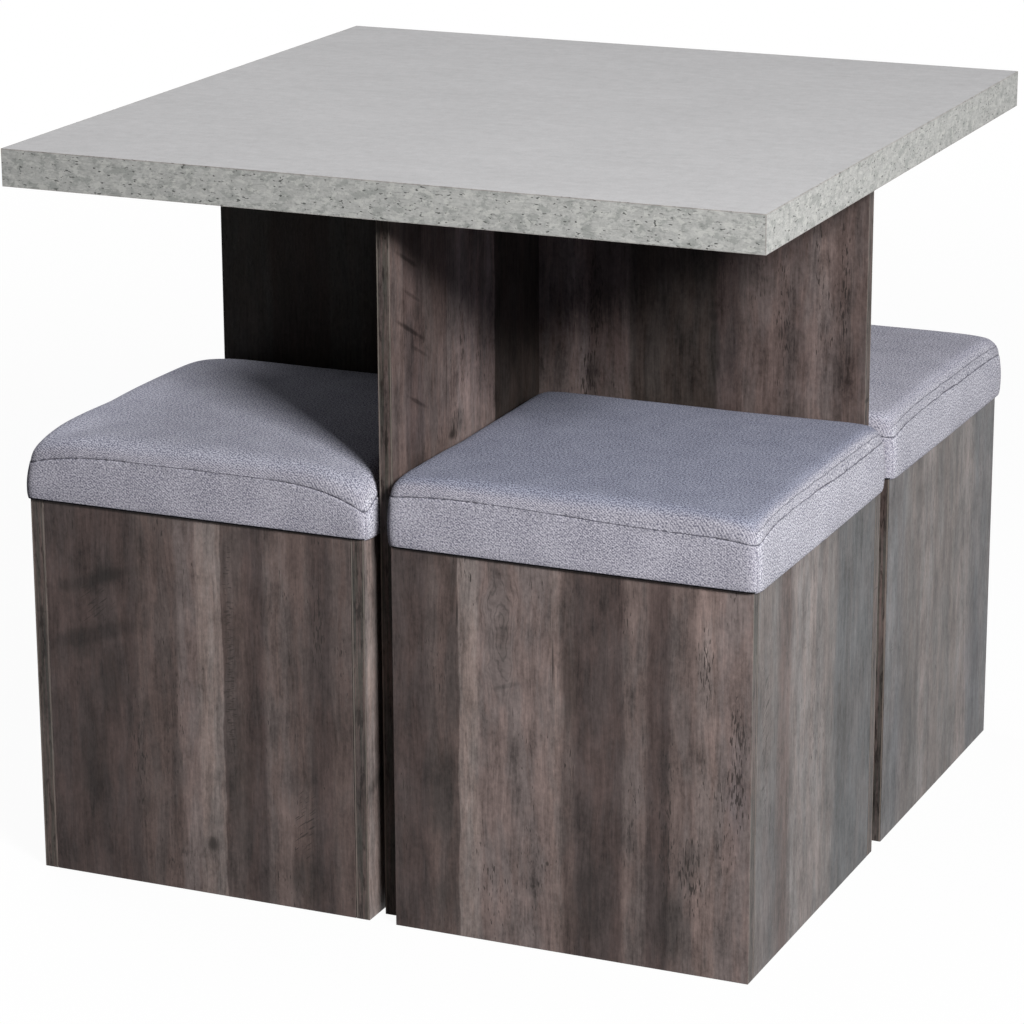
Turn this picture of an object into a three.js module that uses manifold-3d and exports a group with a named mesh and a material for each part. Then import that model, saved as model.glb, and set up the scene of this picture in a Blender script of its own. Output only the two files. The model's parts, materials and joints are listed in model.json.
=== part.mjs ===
// A square dining table on a cross-shaped pedestal, with four storage stools parked in its quarters.
// Lengths are in millimetres, +Z is up, and the origin is on the floor under the middle of the table.
// The front is -Y. Each stool belongs to one side of the table and is drawn out towards that side.

import * as THREE from "three";
import { mergeVertices } from "three/addons/utils/BufferGeometryUtils.js";
import Module from "manifold-3d";

const wasm = await Module();
wasm.setup();

// Table top
const tableSide = 800;
const tableHeight = 760;
const topThickness = 38;
const edgeBandThickness = 1;

// Boards of the pedestal and the stools
const boardThickness = 15;
const pedestalSpan = 736;

// Fits between pieces: what touches keeps fitGap, what is lifted out has lidPlay
const fitGap = 0.3;
const lidPlay = 2;
const cutOverrun = 1;

// Double-ended connecting bolts and the cams that grip them
const camDiameter = 15;
const camDepth = 12;
const camSetback = 34;
const camRecessLength = 8;
const camRecessWidth = 1.4;
const camRecessDepth = 2;
const boltDiameter = 7;
const boltNeckDiameter = 4;
const boltHeadDiameter = 6;
const boltHeadLength = 3;
const boltLevelShare = 0.13;

// Wooden dowels
const dowelDiameter = 8;
const dowelChamfer = 1;
const throughDowelLength = 60;
const throughDowelLevelShare = 0.36;
const stoolDowelReach = 10;
const stoolDowelLevelShares = [0.24, 0.76];

// Steel angle brackets under the top
const bracketLeg = 30;
const bracketWidth = 32;
const bracketSteel = 2;
const bracketBendRadius = 2;
const bracketHoleDiameter = 4.5;
const bracketHoleEdge = 10;
const bracketHoleSpacing = 16;
const bracketPlaceShare = 0.55;

// Stools
const stoolSide = 375;
const stoolHeight = 400;
const stoolClearance = 7;
const basePanelThickness = 12;
const basePanelLift = 20;
const grooveDepth = 6;

// Lid boards and their locating battens
const lidBoardThickness = 12;
const lidBoardInset = 2;
const lidBoardCorner = 10;
const battenWidth = 18;
const battenDepth = 20;
const battenChamfer = 6;

// Cushions, measured from the top of the stool's walls
const coverOverhang = 5;
const coverLift = 1.5;
const coverCorner = 15;
const coverLowerRadius = 4;
const seamHeight = 48;
const seamCornerDrop = 6;
const seamWidth = 3;
const seamDepth = 1;
const shoulderRadius = 18;
const crownRise = 8;
const sideDrawIn = 3;
const lowerDrawInShare = 0.2;
const crownShares = [0.92, 0.76, 0.54, 0.28];
const crownCornerShares = [0.14, 0.24, 0.4, 0.62];

// Facets
const roundSides = 12;
const camSides = 20;
const cornerSteps = 4;
const sideSteps = 3;
const shoulderSteps = 4;
const lowerSteps = 2;

// Derived sizes
const topUnderside = tableHeight - topThickness;
const armLength = (pedestalSpan - boardThickness) / 2;
const stoolInside = stoolSide - 2 * boardThickness;
const stoolCentre = boardThickness / 2 + stoolClearance + stoolSide / 2;
const lidBoardHalf = stoolSide / 2 - lidBoardInset;
const coverHalf = stoolSide / 2 + coverOverhang;
const quarterTurn = Math.PI / 2;

// Levels on the pedestal's height, mirrored about its middle
const mirroredShares = (share) => ({ lower: share, upper: 1 - share });
const boltLevelShares = mirroredShares(boltLevelShare);
const throughDowelLevelShares = mirroredShares(throughDowelLevelShare);

// Finishes
const finish = (color, roughness, metalness = 0) =>
  new THREE.MeshStandardMaterial({ color, roughness, metalness });
const concreteTop = finish(0xa5a8a8, 0.62);
const concreteEdge = finish(0xb0b4ad, 0.66);
const greyBrownWood = finish(0x5f5651, 0.58);
const zincSteel = finish(0xb9bbbd, 0.38, 0.9);
const zincCast = finish(0xa7a9ac, 0.45, 0.85);
const beech = finish(0xc9a97c, 0.7);
const plyBoard = finish(0xb99e78, 0.75);
const wovenFabric = finish(0x9698a6, 0.92);

// Closed mesh to solid, and back
function solidFrom(geometry) {
  const bare = geometry.clone();
  bare.deleteAttribute("normal");
  bare.deleteAttribute("uv");
  const merged = mergeVertices(bare);
  const vertProperties = new Float32Array(merged.attributes.position.array);
  const triVerts = new Uint32Array(merged.index.array);
  return new wasm.Manifold(new wasm.Mesh({ numProp: 3, vertProperties, triVerts }));
}

function geometryFrom(solid) {
  const { vertProperties, triVerts } = solid.getMesh();
  const geometry = new THREE.BufferGeometry();
  geometry.setAttribute("position", new THREE.BufferAttribute(vertProperties, 3));
  geometry.setIndex(new THREE.BufferAttribute(triVerts, 1));
  geometry.computeVertexNormals();
  return geometry;
}

function cut(geometry, tools) {
  let solid = solidFrom(geometry);
  for (const tool of tools) {
    solid = solid.subtract(solidFrom(tool));
  }
  return geometryFrom(solid);
}

function join(geometry, extras) {
  let solid = solidFrom(geometry);
  for (const extra of extras) {
    solid = solid.add(solidFrom(extra));
  }
  return geometryFrom(solid);
}

// A cylinder centred on the origin along one axis
function rod(diameter, length, axis, sides = roundSides) {
  const geometry = new THREE.CylinderGeometry(diameter / 2, diameter / 2, length, sides);
  if (axis === "x") {
    geometry.rotateZ(quarterTurn);
  }
  if (axis === "z") {
    geometry.rotateX(quarterTurn);
  }
  return geometry;
}

function block(width, depth, height) {
  return new THREE.BoxGeometry(width, depth, height);
}

function piece(name, geometry, material, x = 0, y = 0, z = 0) {
  const mesh = new THREE.Mesh(geometry, material);
  mesh.name = name;
  mesh.position.set(x, y, z);
  return mesh;
}

// Table top: one thick board, banded on its four edges.
// The front and back bands run the full side and cover the ends of the other two.
function tableTop() {
  const group = new THREE.Group();
  const bandRoom = edgeBandThickness + fitGap;
  const boardSide = tableSide - 2 * bandRoom;
  const middle = tableHeight - topThickness / 2;
  const bandPlace = (tableSide - edgeBandThickness) / 2;
  const longBand = () => block(tableSide, edgeBandThickness, topThickness);
  const shortBand = () => block(edgeBandThickness, boardSide, topThickness);
  group.add(piece("tabletop_board", block(boardSide, boardSide, topThickness), concreteTop, 0, 0, middle));
  group.add(piece("tabletop_front_edge_band", longBand(), concreteEdge, 0, -bandPlace, middle));
  group.add(piece("tabletop_back_edge_band", longBand(), concreteEdge, 0, bandPlace, middle));
  group.add(piece("tabletop_left_edge_band", shortBand(), concreteEdge, -bandPlace, 0, middle));
  group.add(piece("tabletop_right_edge_band", shortBand(), concreteEdge, bandPlace, 0, middle));
  return group;
}

// The long panel of the cross, bored through for the bolts and dowels that hold both short panels.
function longPanel(height) {
  const drill = boardThickness + 2 * cutOverrun;
  const tools = [];
  for (const share of Object.values(boltLevelShares)) {
    const bore = rod(boltDiameter + 2 * fitGap, drill, "y");
    tools.push(bore.translate(0, 0, (share - 1 / 2) * height));
  }
  for (const share of Object.values(throughDowelLevelShares)) {
    const bore = rod(dowelDiameter + 2 * fitGap, drill, "y");
    tools.push(bore.translate(0, 0, (share - 1 / 2) * height));
  }
  return cut(block(pedestalSpan, boardThickness, height), tools);
}

// A short panel reaches from the long one towards +Y. Its inner edge has blind bores,
// and its +X face the cam housings that the bolt bores run into.
function shortPanel(width, height) {
  const innerEdge = -width / 2;
  const camAxis = innerEdge + camSetback - fitGap;
  const housingDepth = camDepth + fitGap;
  const dowelBoreDepth = (throughDowelLength - boardThickness) / 2;
  const tools = [];
  for (const share of Object.values(boltLevelShares)) {
    const z = (share - 1 / 2) * height;
    const housing = rod(camDiameter + 2 * fitGap, housingDepth + cutOverrun, "x", camSides);
    const housingMiddle = (boardThickness + cutOverrun - housingDepth) / 2;
    tools.push(housing.translate(housingMiddle, camAxis, z));
    const boreLength = camAxis - innerEdge + cutOverrun;
    const bore = rod(boltDiameter + 2 * fitGap, boreLength, "y");
    tools.push(bore.translate(0, camAxis - boreLength / 2, z));
  }
  for (const share of Object.values(throughDowelLevelShares)) {
    const boreLength = dowelBoreDepth + cutOverrun;
    const bore = rod(dowelDiameter + 2 * fitGap, boreLength, "y");
    tools.push(bore.translate(0, innerEdge - cutOverrun + boreLength / 2, (share - 1 / 2) * height));
  }
  return cut(block(boardThickness, width, height), tools);
}

// A bolt with a necked head at each end. It lies along Y with its middle at the origin.
function connectingBolt() {
  const headMiddle = boardThickness / 2 + camSetback;
  const headEnd = headMiddle + boltHeadLength / 2;
  const neckStart = headMiddle - camDiameter / 2 - fitGap;
  const neckEnd = headMiddle - boltHeadLength / 2;
  const half = [
    [boltDiameter / 2, 0],
    [boltDiameter / 2, neckStart],
    [boltNeckDiameter / 2, neckStart],
    [boltNeckDiameter / 2, neckEnd],
    [boltHeadDiameter / 2, neckEnd],
    [boltHeadDiameter / 2, headEnd],
    [0, headEnd],
  ];
  const lower = half.slice(1).reverse().map(([radius, along]) => [radius, -along]);
  const upper = half.slice(1);
  const profile = [...lower, ...upper].map(([radius, along]) => new THREE.Vector2(radius, along));
  return new THREE.LatheGeometry(profile, roundSides);
}

// A cam drum with its axis along X and its driving face at +X. The bolt's neck enters from -Y,
// its head sits in the middle, and the side hole is where the head came in before the drum was turned.
function cam() {
  const drumMiddle = (boardThickness - camDepth) / 2;
  const drum = rod(camDiameter, camDepth, "x", camSides).translate(drumMiddle, 0, 0);
  const headRoom = boltHeadDiameter + 2 * fitGap;
  const pocket = rod(headRoom, boltHeadLength + 2 * fitGap, "y");
  const neckReach = camDiameter / 2 + cutOverrun;
  const neckSlot = rod(boltNeckDiameter + 2 * fitGap, neckReach, "y").translate(0, -neckReach / 2, 0);
  const entry = rod(headRoom, neckReach, "z").translate(0, 0, neckReach / 2);
  const recessPlace = (boardThickness + cutOverrun - camRecessDepth) / 2;
  const recess = [
    block(camRecessDepth + cutOverrun, camRecessLength, camRecessWidth).translate(recessPlace, 0, 0),
    block(camRecessDepth + cutOverrun, camRecessWidth, camRecessLength).translate(recessPlace, 0, 0),
  ];
  return cut(drum, [pocket, neckSlot, entry, ...recess]);
}

function throughDowel() {
  const half = throughDowelLength / 2 - fitGap;
  const radius = dowelDiameter / 2;
  const profile = [
    [0, -half],
    [radius - dowelChamfer, -half],
    [radius, dowelChamfer - half],
    [radius, half - dowelChamfer],
    [radius - dowelChamfer, half],
    [0, half],
  ];
  return new THREE.LatheGeometry(profile.map(([r, along]) => new THREE.Vector2(r, along)), roundSides);
}

// An angle bracket: one leg along +X under the table top, one leg down -Z on the panel's face.
function bracket() {
  const outer = bracketSteel + bracketBendRadius;
  const outline = new THREE.Shape();
  outline.moveTo(bracketLeg, 0);
  outline.lineTo(outer, 0);
  outline.absarc(outer, -outer, outer, quarterTurn, 2 * quarterTurn, false);
  outline.lineTo(0, -bracketLeg);
  outline.lineTo(bracketSteel, -bracketLeg);
  outline.lineTo(bracketSteel, -outer);
  outline.absarc(outer, -outer, bracketBendRadius, 2 * quarterTurn, quarterTurn, true);
  outline.lineTo(bracketLeg, -bracketSteel);
  outline.closePath();
  const bar = new THREE.ExtrudeGeometry(outline, {
    depth: bracketWidth,
    bevelEnabled: false,
    curveSegments: cornerSteps,
  });
  bar.translate(0, 0, -bracketWidth / 2).rotateX(quarterTurn);
  const drill = bracketSteel + 2 * cutOverrun;
  const holeReach = bracketLeg - bracketHoleEdge;
  const tools = [];
  for (const side of [-1, 1]) {
    const along = (side * bracketHoleSpacing) / 2;
    const upper = rod(bracketHoleDiameter, drill, "z");
    tools.push(upper.translate(holeReach, along, -bracketSteel / 2));
    const lower = rod(bracketHoleDiameter, drill, "x");
    tools.push(lower.translate(bracketSteel / 2, along, -holeReach));
  }
  return cut(bar, tools);
}

// Pedestal: a long panel with a short one butted against each face, held by through-dowels
// and by double-ended bolts that a cam grips in each short panel.
function pedestal() {
  const group = new THREE.Group();
  const height = topUnderside - fitGap;
  const shortWidth = armLength - fitGap;
  const shortPlace = boardThickness / 2 + fitGap + shortWidth / 2;
  const shortSides = { back: 0, front: 2 * quarterTurn };
  group.add(piece("pedestal_long_panel", longPanel(height), greyBrownWood, 0, 0, height / 2));
  for (const [side, turn] of Object.entries(shortSides)) {
    const arm = new THREE.Group();
    arm.rotation.z = turn;
    const panel = shortPanel(shortWidth, height);
    arm.add(piece(`pedestal_${side}_panel`, panel, greyBrownWood, 0, shortPlace, height / 2));
    for (const [level, share] of Object.entries(boltLevelShares)) {
      const camPlace = boardThickness / 2 + camSetback;
      arm.add(piece(`pedestal_${side}_${level}_cam`, cam(), zincCast, 0, camPlace, share * height));
    }
    group.add(arm);
  }
  for (const [level, share] of Object.entries(boltLevelShares)) {
    group.add(piece(`pedestal_${level}_bolt`, connectingBolt(), zincSteel, 0, 0, share * height));
  }
  for (const [level, share] of Object.entries(throughDowelLevelShares)) {
    group.add(piece(`pedestal_${level}_dowel`, throughDowel(), beech, 0, 0, share * height));
  }
  return group;
}

// A pair of brackets ties each of the four arms to the underside of the top.
function topBrackets() {
  const group = new THREE.Group();
  const armsInTurn = ["right", "back", "left", "front"];
  const place = bracketPlaceShare * (pedestalSpan / 2);
  const off = boardThickness / 2 + fitGap;
  const z = topUnderside - fitGap;
  armsInTurn.forEach((arm, turns) => {
    const frame = new THREE.Group();
    frame.rotation.z = turns * quarterTurn;
    for (const [name, side] of Object.entries({ a: -1, b: 1 })) {
      const mesh = piece(`bracket_${arm}_${name}`, bracket(), zincSteel, place, side * off, z);
      mesh.rotation.z = side * quarterTurn;
      frame.add(mesh);
    }
    group.add(frame);
  });
  return group;
}

// A full-width wall of a stool, seen from inside along -Y: a stopped groove for the base panel
// and blind bores for the dowels of the two walls that butt against it.
function outerWall() {
  const innerFace = -boardThickness / 2;
  const grooveHeight = basePanelThickness + 2 * fitGap;
  const groove = block(stoolInside + 2 * grooveDepth, grooveDepth + cutOverrun, grooveHeight);
  const grooveMiddle = basePanelLift + basePanelThickness / 2 - stoolHeight / 2;
  const tools = [groove.translate(0, innerFace + (grooveDepth - cutOverrun) / 2, grooveMiddle)];
  for (const side of [-1, 1]) {
    for (const share of stoolDowelLevelShares) {
      const bore = rod(dowelDiameter + 2 * fitGap, stoolDowelReach + cutOverrun, "y");
      const across = (side * (stoolInside + boardThickness)) / 2;
      const z = (share - 1 / 2) * stoolHeight;
      tools.push(bore.translate(across, innerFace + (stoolDowelReach - cutOverrun) / 2, z));
    }
  }
  return cut(block(stoolSide, boardThickness, stoolHeight), tools);
}

// A wall that fits between the full-width ones, its inner face at -X: a groove for the base panel,
// and two glued dowels in each end.
function innerWall() {
  const width = stoolInside - 2 * fitGap;
  const grooveHeight = basePanelThickness + 2 * fitGap;
  const groove = block(grooveDepth + cutOverrun, width + 2 * cutOverrun, grooveHeight);
  const grooveMiddle = basePanelLift + basePanelThickness / 2 - stoolHeight / 2;
  const grooved = cut(block(boardThickness, width, stoolHeight), [
    groove.translate((grooveDepth - cutOverrun - boardThickness) / 2, 0, grooveMiddle),
  ]);
  const dowels = stoolDowelLevelShares.map((share) =>
    rod(dowelDiameter, width + 2 * stoolDowelReach, "y").translate(0, 0, (share - 1 / 2) * stoolHeight),
  );
  return join(grooved, dowels);
}

// Stool body: four walls round a base panel that sits in their grooves.
function stoolBody(name) {
  const group = new THREE.Group();
  const outerPlace = (stoolSide - boardThickness) / 2;
  const middle = stoolHeight / 2;
  const baseSide = stoolInside + 2 * (grooveDepth - fitGap);
  const baseMiddle = basePanelLift + basePanelThickness / 2;
  const front = piece(`${name}_stool_front_panel`, outerWall(), greyBrownWood, 0, -outerPlace, middle);
  front.rotation.z = 2 * quarterTurn;
  const left = piece(`${name}_stool_left_panel`, innerWall(), greyBrownWood, -outerPlace, 0, middle);
  left.rotation.z = 2 * quarterTurn;
  group.add(front);
  group.add(piece(`${name}_stool_back_panel`, outerWall(), greyBrownWood, 0, outerPlace, middle));
  group.add(left);
  group.add(piece(`${name}_stool_right_panel`, innerWall(), greyBrownWood, outerPlace, 0, middle));
  const base = block(baseSide, baseSide, basePanelThickness);
  group.add(piece(`${name}_stool_base_panel`, base, greyBrownWood, 0, 0, baseMiddle));
  return group;
}

// The seat board under the cushion: a square plate with rounded corners, its underside at z = 0.
function lidBoard() {
  const straight = lidBoardHalf - lidBoardCorner;
  const outline = new THREE.Shape();
  for (let corner = 0; corner < 4; corner += 1) {
    const start = corner * quarterTurn;
    const across = straight * Math.sign(Math.cos(start + quarterTurn / 2));
    const along = straight * Math.sign(Math.sin(start + quarterTurn / 2));
    outline.absarc(across, along, lidBoardCorner, start, start + quarterTurn, false);
  }
  outline.closePath();
  return new THREE.ExtrudeGeometry(outline, {
    depth: lidBoardThickness,
    bevelEnabled: false,
    curveSegments: cornerSteps,
  });
}

// A locating batten along X, hanging below z = 0. Its outer lower edge, at +Y, is chamfered
// so that the lid drops into the stool.
function batten(length) {
  const outline = new THREE.Shape();
  outline.moveTo(-battenWidth / 2, 0);
  outline.lineTo(-battenWidth / 2, -battenDepth);
  outline.lineTo(battenWidth / 2 - battenChamfer, -battenDepth);
  outline.lineTo(battenWidth / 2, battenChamfer - battenDepth);
  outline.lineTo(battenWidth / 2, 0);
  outline.closePath();
  const bar = new THREE.ExtrudeGeometry(outline, { depth: length, bevelEnabled: false });
  return bar.translate(0, 0, -length / 2).rotateX(quarterTurn).rotateZ(quarterTurn);
}

// One level of the cushion: a rounded square, centred, whose four sides draw in between its corners
// and whose corners may lie at another height than the middles of its sides.
function cushionRing(half, corner, drawIn, sideZ, cornerZ) {
  const straight = half - corner;
  const quarter = [];
  const onSide = (share) => {
    const bow = 1 - share * share;
    return [half - drawIn * bow, straight * share, cornerZ + (sideZ - cornerZ) * bow];
  };
  for (let step = 0; step < sideSteps; step += 1) {
    quarter.push(onSide(step / sideSteps));
  }
  for (let step = 0; step <= cornerSteps; step += 1) {
    const angle = (quarterTurn * step) / cornerSteps;
    quarter.push([straight + corner * Math.cos(angle), straight + corner * Math.sin(angle), cornerZ]);
  }
  for (let step = sideSteps - 1; step > 0; step -= 1) {
    const [out, along, z] = onSide(step / sideSteps);
    quarter.push([along, out, z]);
  }
  const ring = [];
  for (let turn = 0; turn < 4; turn += 1) {
    const cos = Math.round(Math.cos(turn * quarterTurn));
    const sin = Math.round(Math.sin(turn * quarterTurn));
    for (const [x, y, z] of quarter) {
      ring.push([x * cos - y * sin, x * sin + y * cos, z]);
    }
  }
  return ring;
}

// A skin over rings of equal length, closed by a fan at the first and the last.
function skin(rings, firstZ, lastZ) {
  const count = rings[0].length;
  const points = rings.flat();
  const first = points.length;
  const last = first + 1;
  points.push([0, 0, firstZ], [0, 0, lastZ]);
  const faces = [];
  for (let i = 0; i < count; i += 1) {
    const next = (i + 1) % count;
    faces.push(first, next, i);
    for (let level = 0; level < rings.length - 1; level += 1) {
      const a = level * count;
      const b = a + count;
      faces.push(a + i, a + next, b + next, a + i, b + next, b + i);
    }
    const top = (rings.length - 1) * count;
    faces.push(last, top + i, top + next);
  }
  const geometry = new THREE.BufferGeometry();
  geometry.setAttribute("position", new THREE.Float32BufferAttribute(points.flat(), 3));
  geometry.setIndex(faces);
  geometry.computeVertexNormals();
  return geometry;
}

// The cushion: a pocket for the seat board, an upright side band with a rolled lower edge,
// a sewn seam, a rounded shoulder and a crowned top. Its levels run from the pocket outwards and up.
function cushion() {
  const pocketHalf = lidBoardHalf + fitGap;
  const pocketCorner = lidBoardCorner + fitGap;
  const pocketTop = lidBoardThickness + 2 * fitGap;
  const lowerDraw = sideDrawIn * lowerDrawInShare;
  const cornerSeam = seamHeight - seamCornerDrop;
  const rings = [
    cushionRing(pocketHalf, pocketCorner, 0, pocketTop, pocketTop),
    cushionRing(pocketHalf, pocketCorner, 0, coverLift, coverLift),
  ];
  for (let step = 0; step <= lowerSteps; step += 1) {
    const angle = (quarterTurn * step) / lowerSteps;
    const inset = coverLowerRadius * (1 - Math.sin(angle));
    const z = coverLift + coverLowerRadius * (1 - Math.cos(angle));
    rings.push(cushionRing(coverHalf - inset, coverCorner - inset, lowerDraw, z, z));
  }
  const seamLevels = [
    [0, -seamWidth / 2],
    [seamDepth, 0],
    [0, seamWidth / 2],
  ];
  for (const [inset, rise] of seamLevels) {
    const outline = [coverHalf - inset, coverCorner - inset, sideDrawIn];
    rings.push(cushionRing(...outline, seamHeight + rise, cornerSeam + rise));
  }
  for (let step = 1; step <= shoulderSteps; step += 1) {
    const angle = (quarterTurn * step) / shoulderSteps;
    const inset = shoulderRadius * (1 - Math.cos(angle));
    const rise = seamWidth / 2 + shoulderRadius * Math.sin(angle);
    const outline = [coverHalf - inset, coverCorner, sideDrawIn];
    rings.push(cushionRing(...outline, seamHeight + rise, cornerSeam + rise));
  }
  const shoulderHalf = coverHalf - shoulderRadius;
  const shoulderTop = seamHeight + seamWidth / 2 + shoulderRadius;
  crownShares.forEach((share, index) => {
    const half = shoulderHalf * share;
    const z = shoulderTop + crownRise * (1 - share * share);
    const cornerZ = z - seamCornerDrop * share * share;
    rings.push(cushionRing(half, half * crownCornerShares[index], sideDrawIn * share, z, cornerZ));
  });
  return skin(rings, pocketTop, shoulderTop + crownRise);
}

// Lid: seat board, cushion and two battens that keep it centred in the stool's mouth.
function lid(name) {
  const group = new THREE.Group();
  const battenLength = stoolInside - 2 * lidPlay;
  const battenPlace = stoolInside / 2 - lidPlay - battenWidth / 2;
  const boardZ = fitGap;
  group.add(piece(`${name}_lid_board`, lidBoard(), plyBoard, 0, 0, boardZ));
  group.add(piece(`${name}_lid_cushion`, cushion(), wovenFabric, 0, 0, 0));
  const back = piece(`${name}_lid_back_batten`, batten(battenLength), beech, 0, battenPlace, 0);
  const front = piece(`${name}_lid_front_batten`, batten(battenLength), beech, 0, -battenPlace, 0);
  front.rotation.z = 2 * quarterTurn;
  group.add(back, front);
  group.position.z = stoolHeight;
  return group;
}

// The front stool stands in the quarter right of the front arm. The others are turned copies of it.
function stool(name, turns) {
  const quarter = new THREE.Group();
  const standing = new THREE.Group();
  standing.position.set(stoolCentre, -stoolCentre, 0);
  standing.add(stoolBody(name), lid(name));
  quarter.rotation.z = -turns * quarterTurn;
  quarter.add(standing);
  return quarter;
}

const diningSet = new THREE.Group();
diningSet.add(tableTop(), pedestal(), topBrackets());
["front", "left", "back", "right"].forEach((name, turns) => {
  diningSet.add(stool(name, turns));
});

export default diningSet;
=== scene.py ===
"""Looks of a square dining table with a concrete-look top, a cross of grey-brown boards and four
storage stools with woven cushions. Lengths are in metres, +Z is up, and -Y is the front."""

import json
import math
import random

import bpy
import numpy as np
from mathutils import Matrix, Vector
from mathutils.kdtree import KDTree

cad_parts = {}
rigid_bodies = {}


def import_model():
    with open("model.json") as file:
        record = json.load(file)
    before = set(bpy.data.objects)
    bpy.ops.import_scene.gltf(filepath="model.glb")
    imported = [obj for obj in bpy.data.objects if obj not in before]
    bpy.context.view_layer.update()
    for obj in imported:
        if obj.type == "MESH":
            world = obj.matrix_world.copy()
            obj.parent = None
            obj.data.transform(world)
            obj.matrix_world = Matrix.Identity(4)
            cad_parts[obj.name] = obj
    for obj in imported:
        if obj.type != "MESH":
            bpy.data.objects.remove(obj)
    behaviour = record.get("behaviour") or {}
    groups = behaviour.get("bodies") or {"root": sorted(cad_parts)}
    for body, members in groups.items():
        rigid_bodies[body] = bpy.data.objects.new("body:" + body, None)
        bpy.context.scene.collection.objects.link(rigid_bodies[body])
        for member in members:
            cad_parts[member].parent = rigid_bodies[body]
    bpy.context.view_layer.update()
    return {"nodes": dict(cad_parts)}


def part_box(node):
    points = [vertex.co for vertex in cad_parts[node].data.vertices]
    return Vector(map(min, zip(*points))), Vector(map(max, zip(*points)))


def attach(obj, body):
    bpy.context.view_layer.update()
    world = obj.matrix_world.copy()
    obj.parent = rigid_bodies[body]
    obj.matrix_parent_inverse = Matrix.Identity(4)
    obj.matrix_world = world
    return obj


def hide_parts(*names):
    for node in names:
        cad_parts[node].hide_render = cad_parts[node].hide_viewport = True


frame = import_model()
nodes = frame["nodes"]
scene = bpy.context.scene

STOOLS = ("front", "left", "back", "right")
MM = 0.001

# Camera, as solved from the corners of the table top, the stools and the pedestal
CAMERA_PLACE = (1.52968, -3.54176, 1.47744)
CAMERA_AZIMUTH = math.radians(23.74)
CAMERA_ELEVATION = math.radians(16.66)
CAMERA_ROLL = math.radians(-0.24)
CAMERA_LENS = 132.38
SENSOR_WIDTH = 36.0

# Studio
# A lamp is its azimuth and elevation in degrees, its distance, its side and its power in watts
LAMPS = {
    "key_lamp": (50, 28.5, 4.4, 1.0, 240),
    "top_lamp": (-112, 66, 3.0, 1.1, 27),
    "side_lamp": (-97, 28, 4.0, 2.0, 15),
    "back_lamp": (248, 5, 4.4, 2.0, 22),
}
LAMP_TARGET = Vector((0, 0, 0.4))
SKY_LEVEL = 0.012
SKY_COLOR = (0.8, 0.95, 1.25, 1.0)
FLOOR_SIDE = 60.0
FLOOR_DROP = 0.0004
FLOOR_BOUNCE = 0.06
FLOOR_WHITE = 0.97
FLOOR_GLOW_SHARE = 0.95
SHADOW_REACH = (1.2, 4.0)


def paint(text):
    """A colour written as an sRGB hex string, as linear RGBA."""
    channels = [int(text[i : i + 2], 16) / 255 for i in (1, 3, 5)]
    linear = [c / 12.92 if c <= 0.04045 else ((c + 0.055) / 1.055) ** 2.4 for c in channels]
    return (*linear, 1.0)


# Colours of the laminate's print
UMBER = paint("#5d524f")
BARK = paint("#4f4543")
TAUPE = paint("#786c69")
ASH = paint("#847975")
SLATE = paint("#666566")
STONE = paint("#6a6563")
PEBBLE = paint("#797371")
FLINT = paint("#59595a")
DRIFT = paint("#6a5f5c")
MOSS = paint("#4b4844")
EARTH = paint("#3c3633")
ROSE = paint("#7c6f6b")
SOOT = paint("#302b29")
PALE_LINE = paint("#aca197")

# Tints that the laminate's colours are multiplied by
COOL_TINT = (0.945, 0.96, 0.97, 1.0)
WARM_TINT = (1.06, 1.0, 0.98, 1.0)
SMUDGE_TINT = (0.56, 0.58, 0.58, 1.0)
STROKE_TINT = (0.36, 0.36, 0.36, 1.0)
SLATE_TINT = (0.77, 0.785, 0.82, 1.0)
LIGHT_TINT = (1.34, 1.31, 1.28, 1.0)

# Other finishes
CONCRETE_TOP = paint("#bbbabb")
CONCRETE_EDGE = paint("#b0b0ad")
CONCRETE_PATCH = paint("#878a86")
CONCRETE_LIGHT = paint("#c9c9c4")
CONCRETE_PIT = paint("#484a47")
CONCRETE_LINE = paint("#8c7f7b")
BACKING = paint("#8f8f8c")
FABRIC_LIGHT = paint("#d2cfd9")
FABRIC_DARK = paint("#6c6b7b")
THREAD = paint("#4a4a55")
# Painted shadow: a near-black band on the cover just above its lower edge, for the shadow under the
# cushion's overhang
HEM_PAINTED_SHADOW = paint("#17161a")
# Painted light: the fabric is made lighter where it faces along X, for the sides that the lamp on the right
# lights
FABRIC_SIDE_PAINTED_LIGHT = (1.21, 1.23, 1.20, 1.0)
# Painted shade: the fabric is made darker on the shoulder just inside the seam
SHOULDER_PAINTED_SHADE = (0.86, 0.86, 0.86, 1.0)
ZINC = paint("#b9bbbd")
CAST_ZINC = paint("#a2a4a7")
BEECH = paint("#c9a97c")
PLY = paint("#b99e78")


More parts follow.
